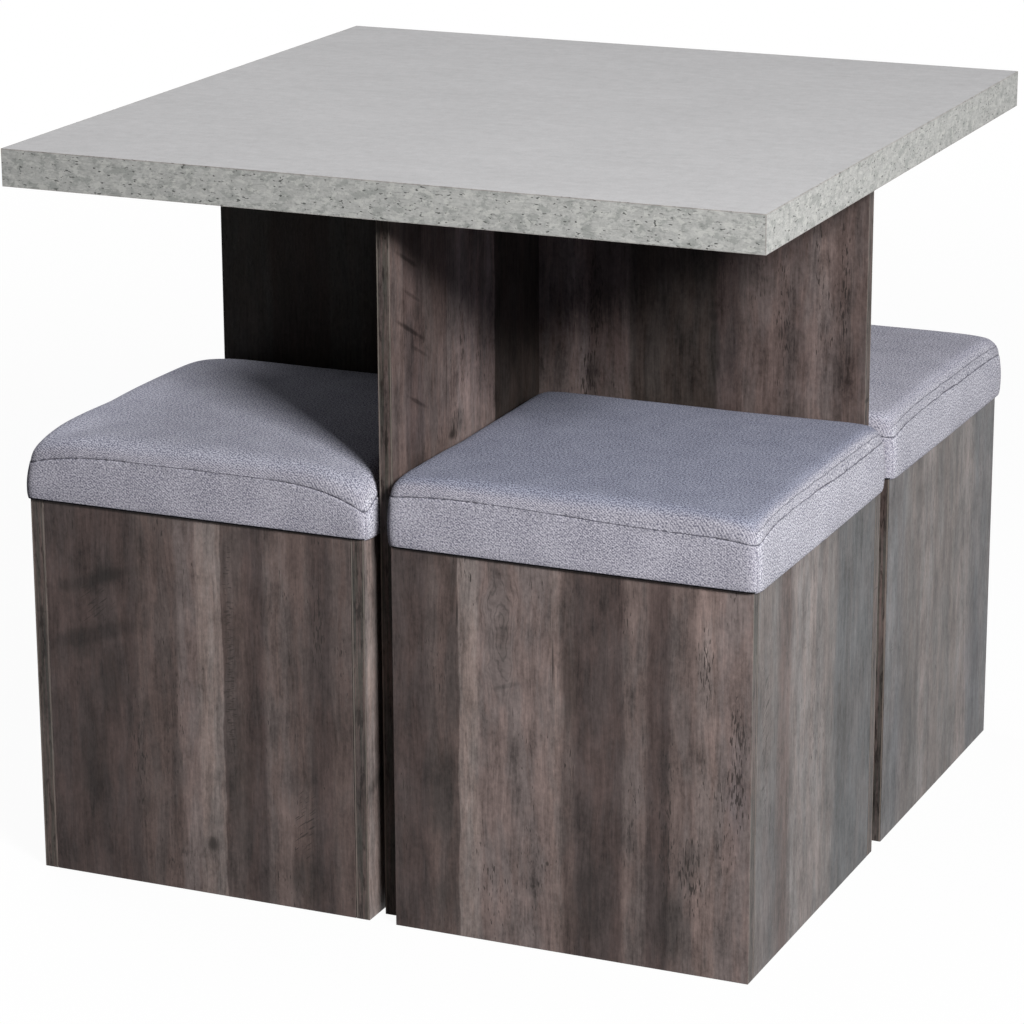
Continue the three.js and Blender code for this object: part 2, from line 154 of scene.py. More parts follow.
class Pen:
    """Adds nodes to one node tree and links them."""

    def __init__(self, tree):
        self.tree = tree

    def add(self, kind, **settings):
        node = self.tree.nodes.new(kind)
        for key, value in settings.items():
            setattr(node, key, value)
        return node

    def feed(self, socket, value):
        if isinstance(value, bpy.types.NodeSocket):
            self.tree.links.new(value, socket)
        else:
            socket.default_value = value

    def math(self, operation, first, second=0.0, third=0.0):
        node = self.add("ShaderNodeMath", operation=operation)
        for socket, value in zip(node.inputs, (first, second, third)):
            self.feed(socket, value)
        return node.outputs[0]

    def times(self, first, second):
        return self.math("MULTIPLY", first, second)

    def plus(self, first, second):
        return self.math("ADD", first, second)

    def minus(self, first, second):
        return self.math("SUBTRACT", first, second)

    def around(self, value, weight):
        """How far the value is from a half, times a weight."""
        return self.times(self.minus(value, 0.5), weight)

    def step(self, value, low, high, start=0.0, end=1.0):
        """Goes smoothly from start to end while value goes from low to high."""
        node = self.add("ShaderNodeMapRange", interpolation_type="SMOOTHSTEP")
        for label, given in (
            ("Value", value),
            ("From Min", low),
            ("From Max", high),
            ("To Min", start),
            ("To Max", end),
        ):
            self.feed(node.inputs[label], given)
        return node.outputs["Result"]

    def near(self, value, place, reach):
        """1 where value is at place, falling to 0 at reach from it."""
        away = self.math("ABSOLUTE", self.minus(value, place))
        return self.step(away, 0.0, reach, 1.0, 0.0)

    def mix(self, factor, first, second, blend="MIX"):
        node = self.add("ShaderNodeMix", data_type="RGBA", blend_type=blend)
        self.feed(node.inputs[0], factor)
        self.feed(node.inputs[6], first)
        self.feed(node.inputs[7], second)
        return node.outputs[2]

    def shade(self, color, level):
        """The colour, made lighter or darker by a factor."""
        node = self.add("ShaderNodeVectorMath", operation="SCALE")
        self.feed(node.inputs[0], color if isinstance(color, bpy.types.NodeSocket) else color[:3])
        self.feed(node.inputs["Scale"], level)
        return node.outputs[0]

    def vector(self, x, y, z=0.0):
        node = self.add("ShaderNodeCombineXYZ")
        for socket, value in zip(node.inputs, (x, y, z)):
            self.feed(socket, value)
        return node.outputs[0]

    def noise(self, x, y, z=0.0, detail=2.0, roughness=0.5, warp=0.0):
        node = self.add("ShaderNodeTexNoise", noise_dimensions="3D")
        self.feed(node.inputs["Vector"], self.vector(x, y, z))
        node.inputs["Scale"].default_value = 1.0
        node.inputs["Detail"].default_value = detail
        node.inputs["Roughness"].default_value = roughness
        node.inputs["Distortion"].default_value = warp
        return node.outputs["Fac"]

    def group(self, shared, **values):
        node = self.add("ShaderNodeGroup", node_tree=shared)
        for label, value in values.items():
            self.feed(node.inputs[label.replace("_", " ")], value)
        return node.outputs

    def places(self):
        """X, Y and Z of the point on its piece, in millimetres."""
        coordinates = self.add("ShaderNodeTexCoord").outputs["Object"]
        scaled = self.add("ShaderNodeVectorMath", operation="SCALE")
        self.feed(scaled.inputs[0], coordinates)
        scaled.inputs["Scale"].default_value = 1 / MM
        split = self.add("ShaderNodeSeparateXYZ")
        self.feed(split.inputs[0], scaled.outputs[0])
        return split.outputs

    def facing(self):
        """How far the surface faces along X, Y and Z, from 0 to 1 either way."""
        normal = self.add("ShaderNodeTexCoord").outputs["Normal"]
        split = self.add("ShaderNodeSeparateXYZ")
        self.feed(split.inputs[0], normal)
        return split.outputs

    def bump(self, height, distance, strength=1.0):
        node = self.add("ShaderNodeBump")
        node.inputs["Strength"].default_value = strength
        node.inputs["Distance"].default_value = distance
        self.feed(node.inputs["Height"], height)
        return node.outputs["Normal"]


def shared_group(name, inputs, outputs):
    """An empty node group with named number inputs, and value outputs."""
    tree = bpy.data.node_groups.new(name, "ShaderNodeTree")
    for label, value in inputs.items():
        socket = tree.interface.new_socket(name=label, in_out="INPUT", socket_type="NodeSocketFloat")
        socket.default_value = value
    for label in outputs:
        tree.interface.new_socket(name=label, in_out="OUTPUT", socket_type="NodeSocketFloat")
    pen = Pen(tree)
    return pen, pen.add("NodeGroupInput").outputs, pen.add("NodeGroupOutput").inputs


def material(name, color, roughness, metallic=0.0, specular=0.5):
    """A new material, its pen and its Principled BSDF."""
    made = bpy.data.materials.new(name)
    made.use_nodes = True
    shader = made.node_tree.nodes["Principled BSDF"]
    shader.inputs["Base Color"].default_value = color
    shader.inputs["Roughness"].default_value = roughness
    shader.inputs["Metallic"].default_value = metallic
    shader.inputs["Specular IOR Level"].default_value = specular
    return made, Pen(made.node_tree), shader


# Camera
def place_camera():
    data = bpy.data.cameras.new("camera")
    data.lens = CAMERA_LENS
    data.sensor_width = SENSOR_WIDTH
    data.clip_end = 100
    camera = bpy.data.objects.new("camera", data)
    scene.collection.objects.link(camera)
    back = Vector(
        (
            math.sin(CAMERA_AZIMUTH) * math.cos(CAMERA_ELEVATION),
            -math.cos(CAMERA_AZIMUTH) * math.cos(CAMERA_ELEVATION),
            math.sin(CAMERA_ELEVATION),
        )
    )
    across = Vector((0, 0, 1)).cross(back).normalized()
    up = back.cross(across)
    right = math.cos(CAMERA_ROLL) * across + math.sin(CAMERA_ROLL) * up
    top = -math.sin(CAMERA_ROLL) * across + math.cos(CAMERA_ROLL) * up
    turn = Matrix((right, top, back)).transposed()
    camera.matrix_world = Matrix.Translation(CAMERA_PLACE) @ turn.to_4x4()
    scene.camera = camera


# Studio
def area_lamp(name, azimuth, elevation, distance, size, power):
    azimuth, elevation = math.radians(azimuth), math.radians(elevation)
    data = bpy.data.lights.new(name, "AREA")
    data.shape = "SQUARE"
    data.size = size
    data.energy = power
    lamp = bpy.data.objects.new(name, data)
    scene.collection.objects.link(lamp)
    towards = Vector(
        (
            math.sin(azimuth) * math.cos(elevation),
            -math.cos(azimuth) * math.cos(elevation),
            math.sin(elevation),
        )
    )
    turn = towards.to_track_quat("Z", "Y").to_matrix().to_4x4()
    lamp.matrix_world = Matrix.Translation(LAMP_TARGET + towards * distance) @ turn


def seen_directly(pen):
    """1 for rays from the camera, a reflection or a clear body, 0 for light that bounces."""
    path = pen.add("ShaderNodeLightPath").outputs
    seen = pen.math("MAXIMUM", path["Is Camera Ray"], path["Is Glossy Ray"])
    return pen.math("MAXIMUM", seen, path["Is Transmission Ray"])


def build_studio():
    for name, values in LAMPS.items():
        area_lamp(name, *values)

    world = bpy.data.worlds.new("studio")
    world.use_nodes = True
    scene.world = world
    pen = Pen(world.node_tree)
    background = world.node_tree.nodes["Background"]
    seen = seen_directly(pen)
    pen.feed(background.inputs["Color"], pen.mix(seen, SKY_COLOR, (1, 1, 1, 1)))
    level = pen.step(seen, 0.0, 1.0, SKY_LEVEL, 1.0)
    pen.feed(background.inputs["Strength"], level)

    bpy.ops.mesh.primitive_plane_add(size=FLOOR_SIDE, location=(0, 0, -FLOOR_DROP))
    floor = bpy.context.active_object
    floor.name = "studio_floor"
    made = bpy.data.materials.new("studio_floor")
    made.use_nodes = True
    tree = made.node_tree
    tree.nodes.remove(tree.nodes["Principled BSDF"])
    pen = Pen(tree)
    output = tree.nodes["Material Output"]
    seen = seen_directly(pen)
    matt = pen.add("ShaderNodeBsdfDiffuse")
    tone = pen.step(seen, 0.0, 1.0, FLOOR_BOUNCE, FLOOR_WHITE)
    pen.feed(matt.inputs["Color"], tone)
    glow = pen.add("ShaderNodeEmission")
    glow.inputs["Strength"].default_value = 1.0
    blend = pen.add("ShaderNodeMixShader")
    x, y, _ = pen.places()
    away = pen.math("SQRT", pen.plus(pen.times(x, x), pen.times(y, y)))
    near, far = (reach / MM for reach in SHADOW_REACH)
    share = pen.step(away, near, far, FLOOR_GLOW_SHARE, 1.0)
    pen.feed(blend.inputs[0], pen.times(seen, share))
    pen.feed(blend.inputs[1], matt.outputs[0])
    pen.feed(blend.inputs[2], glow.outputs[0])
    pen.feed(output.inputs["Surface"], blend.outputs[0])
    floor.data.materials.append(made)


# Shared effects of the laminate's print. Across and Along are in millimetres.
def build_grain():
    pen, given, result = shared_group(
        "wood_grain", {"Across": 0, "Along": 0, "Seed": 0}, ("Tone", "Tint", "Pores", "Thread")
    )
    across, along, seed = given["Across"], given["Along"], given["Seed"]
    sway = pen.noise(pen.times(across, 0.02), pen.times(along, 0.009), seed, 1)
    wavy = pen.plus(across, pen.times(sway, 12))

    def layer(source, fineness, length, shift, detail, roughness):
        x, y = pen.times(source, fineness), pen.times(along, length)
        return pen.noise(x, y, pen.plus(seed, shift), detail, roughness)

    thread = layer(wavy, 0.95, 0.04, 0, 2, 0.6)
    layers = (
        (thread, 0.6),
        (layer(wavy, 0.34, 0.024, 13, 3, 0.65), 1.1),
        (layer(wavy, 0.1, 0.0065, 21, 2, 0.55), 1.1),
        (layer(across, 0.024, 0.013, 5, 5, 0.68), 2.3),
        (layer(across, 0.3, 0.16, 8, 3, 0.7), 1.0),
    )
    tone = 0.0
    for value, weight in layers:
        tone = pen.plus(tone, pen.around(value, weight))
    pen.feed(result["Tone"], tone)
    pen.feed(result["Tint"], pen.step(layer(wavy, 0.055, 0.009, 31, 3, 0.6), 0.4, 0.6))
    pen.feed(result["Pores"], pen.step(layer(wavy, 1.1, 0.09, 57, 1, 0.5), 0.64, 0.76))
    pen.feed(result["Thread"], thread)
    return pen.tree


def build_patch():
    """A soft oval, 1 in its middle and 0 at its rim, with a ragged outline."""
    pen, given, result = shared_group(
        "wood_patch",
        {
            "Across": 0,
            "Along": 0,
            "Middle Across": 0,
            "Middle Along": 0,
            "Half Width": 10,
            "Half Length": 10,
            "Lean": 0,
        },
        ("Mask", "Away"),
    )
    up = pen.minus(given["Along"], given["Middle Along"])
    side = pen.minus(given["Across"], given["Middle Across"])
    side = pen.minus(side, pen.times(up, given["Lean"]))
    ragged = pen.noise(pen.times(given["Across"], 0.07), pen.times(given["Along"], 0.03), 3.0, 2)
    first, second = (
        pen.math("POWER", pen.math("ABSOLUTE", pen.math("DIVIDE", away, half)), 2.0)
        for away, half in ((side, given["Half Width"]), (up, given["Half Length"]))
    )
    away = pen.math("SQRT", pen.plus(first, second))
    away = pen.plus(away, pen.around(ragged, 0.9))
    pen.feed(result["Away"], away)
    pen.feed(result["Mask"], pen.step(away, 0.25, 1.0, 1.0, 0.0))
    return pen.tree


def build_dashes():
    """Short marks, as long and as wide as the two pitches say, crowded where the amount is high."""
    pen, given, result = shared_group(
        "wood_dashes",
        {"Across": 0, "Along": 0, "Across Pitch": 2, "Along Pitch": 9, "Lean": 0, "Amount": 0.4, "Seed": 0},
        ("Mask",),
    )
    side = pen.minus(given["Across"], pen.times(given["Along"], given["Lean"]))
    up = pen.plus(given["Along"], pen.times(given["Across"], given["Lean"]))
    across = pen.math("DIVIDE", side, given["Across Pitch"])
    along = pen.math("DIVIDE", up, given["Along Pitch"])
    speck = pen.noise(across, along, given["Seed"], 1, 0.5, 0.4)
    edge = pen.minus(0.745, pen.times(given["Amount"], 0.24))
    marks = pen.step(speck, edge, pen.plus(edge, 0.045))
    pen.feed(result["Mask"], pen.times(marks, pen.step(given["Amount"], 0.0, 0.2)))
    return pen.tree


GRAIN = build_grain()
PATCH = build_patch()
DASHES = build_dashes()


# Marks made of many dashes: the dashes' pitch across and along, their lean and their strength
DASHED = {
    "flecks": (1.5, 12.0, 0.0, 0.85),
    "ticks": (8.0, 2.0, -0.15, 0.6),
    "scratches": (2.8, 30.0, 1.25, 0.78),
}
# Marks that multiply the print's colour
TINTED = {
    "smudge": SMUDGE_TINT,
    "slant": SMUDGE_TINT,
    "stroke": STROKE_TINT,
    "cool": SLATE_TINT,
    "light": LIGHT_TINT,
    "pale_line": LIGHT_TINT,
}
# How far a mark runs sideways for each millimetre that it rises
LEANS = {"slant": 2.4, "stroke": -1.9}
FLECK_GROUND = 0.5
RING_FINENESS = 30.0
RING_SHARE = 0.7

# How soft the boundary of two planks is, either way, and how far it sways, in millimetres
PLANK_SOFTNESS = 3.0
CRISP = 0.6
BLURRED = 9.0
PLANK_SWAY = 9.0

# Specular levels of the laminate, and the width of a board's eased edges in metres
PEDESTAL_GLOSS = 0.06
STOOL_GLOSS = 0.2
ARRIS_WIDTH = 0.0006


def ramp_of_planks(pen, share, planks, width):
    """Colour of the plank that the share across the panel falls in."""
    node = pen.add("ShaderNodeValToRGB")
    ramp = node.color_ramp
    ramp.interpolation = "LINEAR"
    stops = [(0.0, planks[0][1])]
    for (end, color, *rest), following in zip(planks, planks[1:]):
        soft = rest[0] if rest else PLANK_SOFTNESS
        stops += [((end - soft) / width, color), ((end + soft) / width, following[1])]
    stops.append((1.0, planks[-1][1]))
    while len(ramp.elements) < len(stops):
        ramp.elements.new(0.5)
    for element, (place, color) in zip(ramp.elements, stops):
        element.position = place
    for element, (place, color) in zip(ramp.elements, stops):
        element.color = color
    pen.feed(node.inputs[0], share)
    return node.outputs["Color"]


def patch_of(pen, across, along, mark):
    kind, middle_across, middle_along, half_width, half_length, strength = mark
    return pen.group(
        PATCH,
        Across=across,
        Along=along,
        Middle_Across=middle_across,
        Middle_Along=middle_along,
        Half_Width=half_width,
        Half_Length=half_length,
        Lean=LEANS.get(kind, 0.0),
    )


def bent_grain(pen, across, along, marks):
    """The place across the grain, bent round the figured spots."""
    for mark in marks:
        if mark[0] == "figure":
            mask = patch_of(pen, across, along, mark)["Mask"]
            side = pen.minus(across, mark[1])
            across = pen.minus(across, pen.times(pen.times(side, mask), 0.8))
    return across


def marked(pen, color, across, along, marks, seed):
    """The print's colour with its smudges, knots, lines and dashes."""
    ground = pen.noise(pen.times(across, 0.03), pen.times(along, 0.008), seed + 71, 2)
    amounts = {"flecks": pen.step(ground, 0.45, 0.7, 0.0, FLECK_GROUND)}
    for mark in marks:
        kind, strength = mark[0], mark[5]
        patch = patch_of(pen, across, along, mark)
        mask = pen.times(patch["Mask"], strength)
        if kind in DASHED:
            amounts[kind] = pen.math("MAXIMUM", amounts[kind], mask) if kind in amounts else mask
        elif kind in TINTED:
            color = pen.mix(mask, color, TINTED[kind], "MULTIPLY")
        elif kind == "figure":
            rings = pen.step(pen.math("SINE", pen.times(patch["Away"], RING_FINENESS)), 0.2, 1.0)
            rings = pen.times(pen.times(mask, rings), RING_SHARE)
            color = pen.mix(rings, color, SMUDGE_TINT, "MULTIPLY")
        else:
            color = pen.mix(mask, color, SOOT)
    for kind, amount in amounts.items():
        across_pitch, along_pitch, lean, strength = DASHED[kind]
        dashes = pen.group(
            DASHES,
            Across=across,
            Along=along,
            Across_Pitch=across_pitch,
            Along_Pitch=along_pitch,
            Lean=lean,
            Amount=amount,
            Seed=seed,
        )
        color = pen.mix(pen.times(dashes["Mask"], strength), color, SOOT)
    return color


def laminate(name, node, across_axis, planks, marks=(), seed=0.0, gloss=0.2):
    """The grey-brown printed wood of one panel. planks are (end in millimetres from its low side,
    colour, softness of that end if it isn't the usual one), and marks are (kind, middle across,
    middle along, half width, half length, strength)."""
    made, pen, shader = material(name, UMBER, 0.46, specular=gloss)
    low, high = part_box(node)
    thin_axis = 1 - across_axis
    width = (high[across_axis] - low[across_axis]) / MM
    thickness = (high[thin_axis] - low[thin_axis]) / MM
    places = pen.places()
    face = pen.math("ABSOLUTE", pen.facing()[thin_axis])
    edge_mask = pen.step(face, 0.5, 0.8, 1.0, 0.0)
    across = pen.minus(places[across_axis], low[across_axis] / MM)
    thin = pen.minus(places[thin_axis], low[thin_axis] / MM)
    along = pen.minus(places[2], low[2] / MM)
    bent = bent_grain(pen, across, along, marks)
    bent = pen.plus(bent, pen.times(pen.times(thin, edge_mask), 1.6))
    grain = pen.group(GRAIN, Across=bent, Along=along, Seed=seed)

    sway = pen.noise(pen.times(across, 0.01), pen.times(along, 0.014), seed, 3)
    share = pen.math("DIVIDE", pen.plus(across, pen.around(sway, PLANK_SWAY)), width)
    color = ramp_of_planks(pen, share, planks, width)
    band = pen.noise(pen.times(thin, 0.4), pen.times(along, 0.01), seed)
    edge = pen.mix(pen.step(band, 0.42, 0.58), MOSS, UMBER)
    stain = pen.noise(pen.times(thin, 0.2), pen.times(along, 0.035), seed + 3, 4, 0.65)
    edge = pen.mix(pen.step(stain, 0.52, 0.64, 0.0, 0.9), edge, SOOT)
    color = pen.mix(edge_mask, color, edge)
    color = pen.mix(1.0, color, pen.mix(grain["Tint"], COOL_TINT, WARM_TINT), "MULTIPLY")
    level = pen.math("MAXIMUM", pen.plus(1.0, grain["Tone"]), 0.3)
    color = pen.shade(color, level)
    color = marked(pen, color, across, along, marks, seed)
    color = pen.mix(pen.times(grain["Pores"], 0.22), color, SOOT)

    line = pen.plus(pen.near(thin, 1.2, 0.9), pen.near(thin, thickness - 1.2, 0.9))
    line = pen.times(line, pen.times(edge_mask, 0.45))
    color = pen.mix(line, color, PALE_LINE)
    pen.feed(shader.inputs["Base Color"], color)
    pen.feed(shader.inputs["Roughness"], pen.step(grain["Thread"], 0.3, 0.7, 0.52, 0.42))
    height = pen.minus(pen.times(grain["Thread"], 0.5), grain["Pores"])
    pen.feed(shader.inputs["Normal"], pen.bump(height, 0.00012))
    return made


def random_planks(width, seed):
    """Planks of 38 to 95 mm in mixed tones, for a panel that the photograph doesn't show."""
    draw = random.Random(seed)
    tones = [UMBER, TAUPE, BARK, ASH, UMBER, ROSE, DRIFT, TAUPE, BARK]
    planks, end = [], 0.0
    while end < width:
        end += draw.uniform(38, 95)
        planks.append((min(end, width), draw.choice(tones)))
    return planks


def random_marks(width, height, seed):
    draw = random.Random(seed + 1)
    marks = []
    for kind, half_width, half_length, strength in (
        ("smudge", 24, 60, 0.9),
        ("slant", 30, 40, 0.8),
        ("flecks", 20, 90, 0.85),
        ("flecks", 16, 120, 0.75),
        ("knot", 6, 8, 0.8),
        ("knot", 1.2, 110, 0.6),
        ("figure", 20, 80, 0.8),
        ("smudge", 30, 30, 0.7),
        ("light", 12, 110, 0.5),
        ("pale_line", 1.2, 90, 0.7),
    ):
        across, along = draw.uniform(0.1, 0.9) * width, draw.uniform(0.1, 0.9) * height
        marks.append((kind, across, along, half_width, half_length, strength))
    return marks


# Panels that the photograph shows, in millimetres from the panel's low side and from its foot
SEEN_PANELS = {
    "front_stool_front_panel": (
        [(38, BARK), (71, UMBER, CRISP), (92, ASH), (168, TAUPE, CRISP), (180, ROSE), (194, UMBER),
         (244, BARK), (268, DRIFT), (292, BARK), (318, DRIFT), (342, ROSE), (375, TAUPE)],
        [
            ("smudge", 52, 150, 26, 80, 0.9), ("smudge", 58, 40, 20, 40, 0.7),
            ("smudge", 66, 370, 6, 44, 0.9), ("smudge", 64, 250, 8, 90, 0.5),
            ("knot", 70, 336, 1.3, 18, 0.9), ("figure", 116, 330, 24, 95, 1.0),
            ("smudge", 120, 318, 7, 40, 0.6), ("slant", 122, 270, 10, 8, 0.7),
            ("light", 84, 220, 12, 200, 0.3), ("light", 160, 210, 12, 110, 0.25),
            ("flecks", 361, 225, 16, 95, 0.95), ("cool", 362, 190, 15, 80, 0.9),
            ("flecks", 328, 318, 14, 60, 0.85), ("flecks", 315, 105, 22, 60, 0.9),
            ("smudge", 318, 115, 14, 40, 0.6), ("smudge", 190, 280, 16, 70, 0.8),
            ("smudge", 205, 60, 34, 60, 0.7), ("smudge", 292, 50, 26, 60, 0.8),
            ("flecks", 290, 130, 14, 150, 0.75), ("knot", 165, 92, 2.6, 3.4, 0.8),
            ("knot", 150, 66, 3.4, 2.6, 0.8), ("knot", 171, 300, 1.4, 30, 0.8),
            ("knot", 210, 90, 1.2, 110, 0.5), ("pale_line", 174, 270, 1.2, 70, 0.8),
            ("light", 246, 120, 5, 120, 0.25), ("flecks", 110, 60, 26, 60, 0.6),
        ],
        3.0,
    ),
    "left_stool_right_panel": (
        [(112, BARK), (160, UMBER), (182, TAUPE), (210, ASH, CRISP), (235, UMBER), (258, BARK), (285, DRIFT),
         (308, UMBER), (332, BARK), (345, UMBER)],
        [
            ("slant", 66, 322, 34, 24, 0.95), ("smudge", 80, 330, 22, 18, 0.9),
            ("slant", 58, 262, 40, 26, 0.9), ("smudge", 50, 250, 26, 24, 0.7),
            ("scratches", 66, 300, 30, 50, 0.6), ("smudge", 80, 215, 22, 44, 0.9),
            ("smudge", 56, 120, 30, 70, 0.8), ("light", 94, 275, 8, 30, 0.5),
            ("ticks", 218, 250, 9, 190, 0.9), ("smudge", 214, 230, 4, 190, 0.6),
            ("knot", 194, 55, 9, 11, 0.8), ("smudge", 230, 120, 20, 110, 0.8),
            ("smudge", 300, 34, 34, 36, 0.9), ("light", 196, 200, 10, 160, 0.3),
            ("light", 176, 90, 14, 80, 0.3), ("light", 108, 150, 6, 120, 0.4),
            ("flecks", 318, 300, 12, 80, 0.9), ("scratches", 300, 90, 20, 50, 0.8),
            ("flecks", 112, 130, 12, 110, 0.75), ("pale_line", 272, 260, 1.4, 90, 0.6),
        ],
        11.0,
    ),
    "front_stool_right_panel": (
        [(70, STONE, BLURRED), (105, UMBER, BLURRED), (205, PEBBLE, BLURRED), (235, STONE, BLURRED),
         (345, FLINT)],
        [
            ("scratches", 34, 250, 24, 150, 0.7), ("smudge", 70, 100, 30, 120, 0.5),
            ("cool", 50, 90, 50, 170, 0.8), ("smudge", 262, 130, 26, 150, 0.5),
            ("light", 160, 270, 22, 110, 0.4), ("flecks", 180, 200, 30, 150, 0.6),
        ],
        19.0,
    ),
    "right_stool_front_panel": (
        [(60, SLATE, BLURRED), (120, STONE, BLURRED), (160, PEBBLE, BLURRED), (250, STONE, BLURRED),
         (300, PEBBLE, BLURRED), (375, SLATE)],
        [
            ("ticks", 22, 210, 16, 12, 0.8), ("smudge", 80, 120, 40, 120, 0.5),
            ("cool", 60, 90, 60, 120, 0.7), ("cool", 320, 100, 60, 140, 0.9),
            ("light", 230, 250, 12, 160, 0.4),
        ],
        27.0,
    ),
    "pedestal_long_panel": (
        # The planks up to 368 mm, on the left arm, are dark print and also painted shade of the bay under
        # the table top
        [(60, MOSS), (130, EARTH), (180, MOSS), (368, SOOT), (404, DRIFT), (430, TAUPE), (478, UMBER),
         (575, EARTH), (600, BARK), (672, UMBER), (700, DRIFT), (712, UMBER), (736, UMBER)],
        [
            ("flecks", 440, 575, 16, 120, 0.9), ("flecks", 432, 470, 18, 80, 0.85),
            ("smudge", 445, 600, 24, 120, 0.6), ("knot", 570, 560, 6, 8, 0.9),
            ("knot", 502, 566, 3.4, 3.0, 0.8), ("knot", 529, 480, 1.3, 44, 0.9),
            ("smudge", 590, 600, 34, 160, 0.7), ("smudge", 574, 520, 8, 50, 0.6),
            ("light", 689, 600, 7, 80, 0.6), ("flecks", 648, 560, 18, 120, 0.7),
            ("flecks", 712, 590, 9, 130, 0.85), ("pale_line", 720, 560, 1.2, 150, 0.7),
        ],
        35.0,
    ),
    "pedestal_front_panel": (
        # The dark plank from 246 mm to the inner corner is print and also painted shade under the table top
        [(30, UMBER), (72, BARK), (128, UMBER, CRISP), (148, DRIFT), (246, TAUPE, CRISP), (361, EARTH)],
        [
            ("stroke", 40, 668, 7.0, 20, 0.9), ("stroke", 46, 632, 6.0, 16, 0.6),
            ("stroke", 43, 598, 7.5, 22, 0.95), ("stroke", 64, 572, 6.0, 14, 0.6),
            ("stroke", 58, 522, 6.5, 15, 0.8), ("smudge", 58, 612, 13, 14, 0.8),
            ("knot", 139, 468, 12, 7, 0.8), ("smudge", 146, 476, 26, 20, 0.9),
            ("flecks", 148, 480, 22, 30, 0.9), ("knot", 127, 560, 1.3, 90, 0.6),
            ("smudge", 90, 560, 40, 110, 0.5), ("smudge", 212, 600, 10, 120, 0.7),
            ("flecks", 165, 560, 14, 90, 0.8), ("flecks", 260, 560, 40, 90, 0.7),
            ("pale_line", 352, 600, 1.6, 150, 0.6),
        ],
        43.0,
    ),
}


def dress_panels():
    """Printed laminate on every wall of the stools and every panel of the pedestal, with eased edges."""
    names = [n for n in sorted(nodes) if n.endswith("_panel") and not n.endswith("_base_panel")]
    for index, name in enumerate(names):
        low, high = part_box(name)
        size = [(h - l) / MM for l, h in zip(low, high)]
        across_axis = 0 if size[0] > size[1] else 1
        given = SEEN_PANELS.get(name)
        if given is None:
            width, seed = size[across_axis], 100 + 7 * index
            given = (random_planks(width, seed), random_marks(width, size[2], seed), seed)
        planks, marks, seed = given
        gloss = PEDESTAL_GLOSS if name.startswith("pedestal") else STOOL_GLOSS
        dress(name, laminate(name + "_laminate", name, across_axis, planks, marks, seed, gloss))
        ease_edges(name, ARRIS_WIDTH)


def dress(name, made):
    slots = nodes[name].data.materials
    slots.clear()
    slots.append(made)


def ease_edges(name, width):
    """Small rounded arrises on a packed board."""
    weld = nodes[name].modifiers.new("weld", "WELD")
    weld.merge_threshold = 0.00001
    bevel = nodes[name].modifiers.new("arris", "BEVEL")
    bevel.width = width
    bevel.segments = 2
    bevel.limit_method = "ANGLE"
    bevel.angle_limit = math.radians(50)
    bevel.use_clamp_overlap = True


# Concrete look of the table top
def concrete_top():
    made, pen, shader = material("concrete_top", CONCRETE_TOP, 0.66, specular=0.08)
    x, y, _ = pen.places()
    cloud = pen.noise(pen.times(x, 0.008), pen.times(y, 0.014), 1.0, 5, 0.62)
    wipe = pen.noise(pen.times(x, 0.045), pen.times(y, 0.11), 2.0, 5, 0.68)
    grit = pen.noise(pen.times(x, 0.5), pen.times(y, 0.7), 3.0, 2, 0.6)
    mottle = pen.noise(pen.times(x, 0.1), pen.times(y, 0.06), 4.0, 5, 0.7)
    fine = pen.plus(pen.around(wipe, 0.3), pen.around(grit, 0.3))
    coarse = pen.plus(pen.around(cloud, 0.2), pen.around(mottle, 0.22))
    tone = pen.plus(coarse, fine)
    color = pen.shade(CONCRETE_TOP, pen.plus(1.0, tone))
    under = pen.step(pen.facing()[2], -0.5, -0.4, 1.0, 0.0)
    color = pen.mix(under, color, BACKING)
    pen.feed(shader.inputs["Base Color"], color)
    pen.feed(shader.inputs["Normal"], pen.bump(grit, 0.00005))
    return made


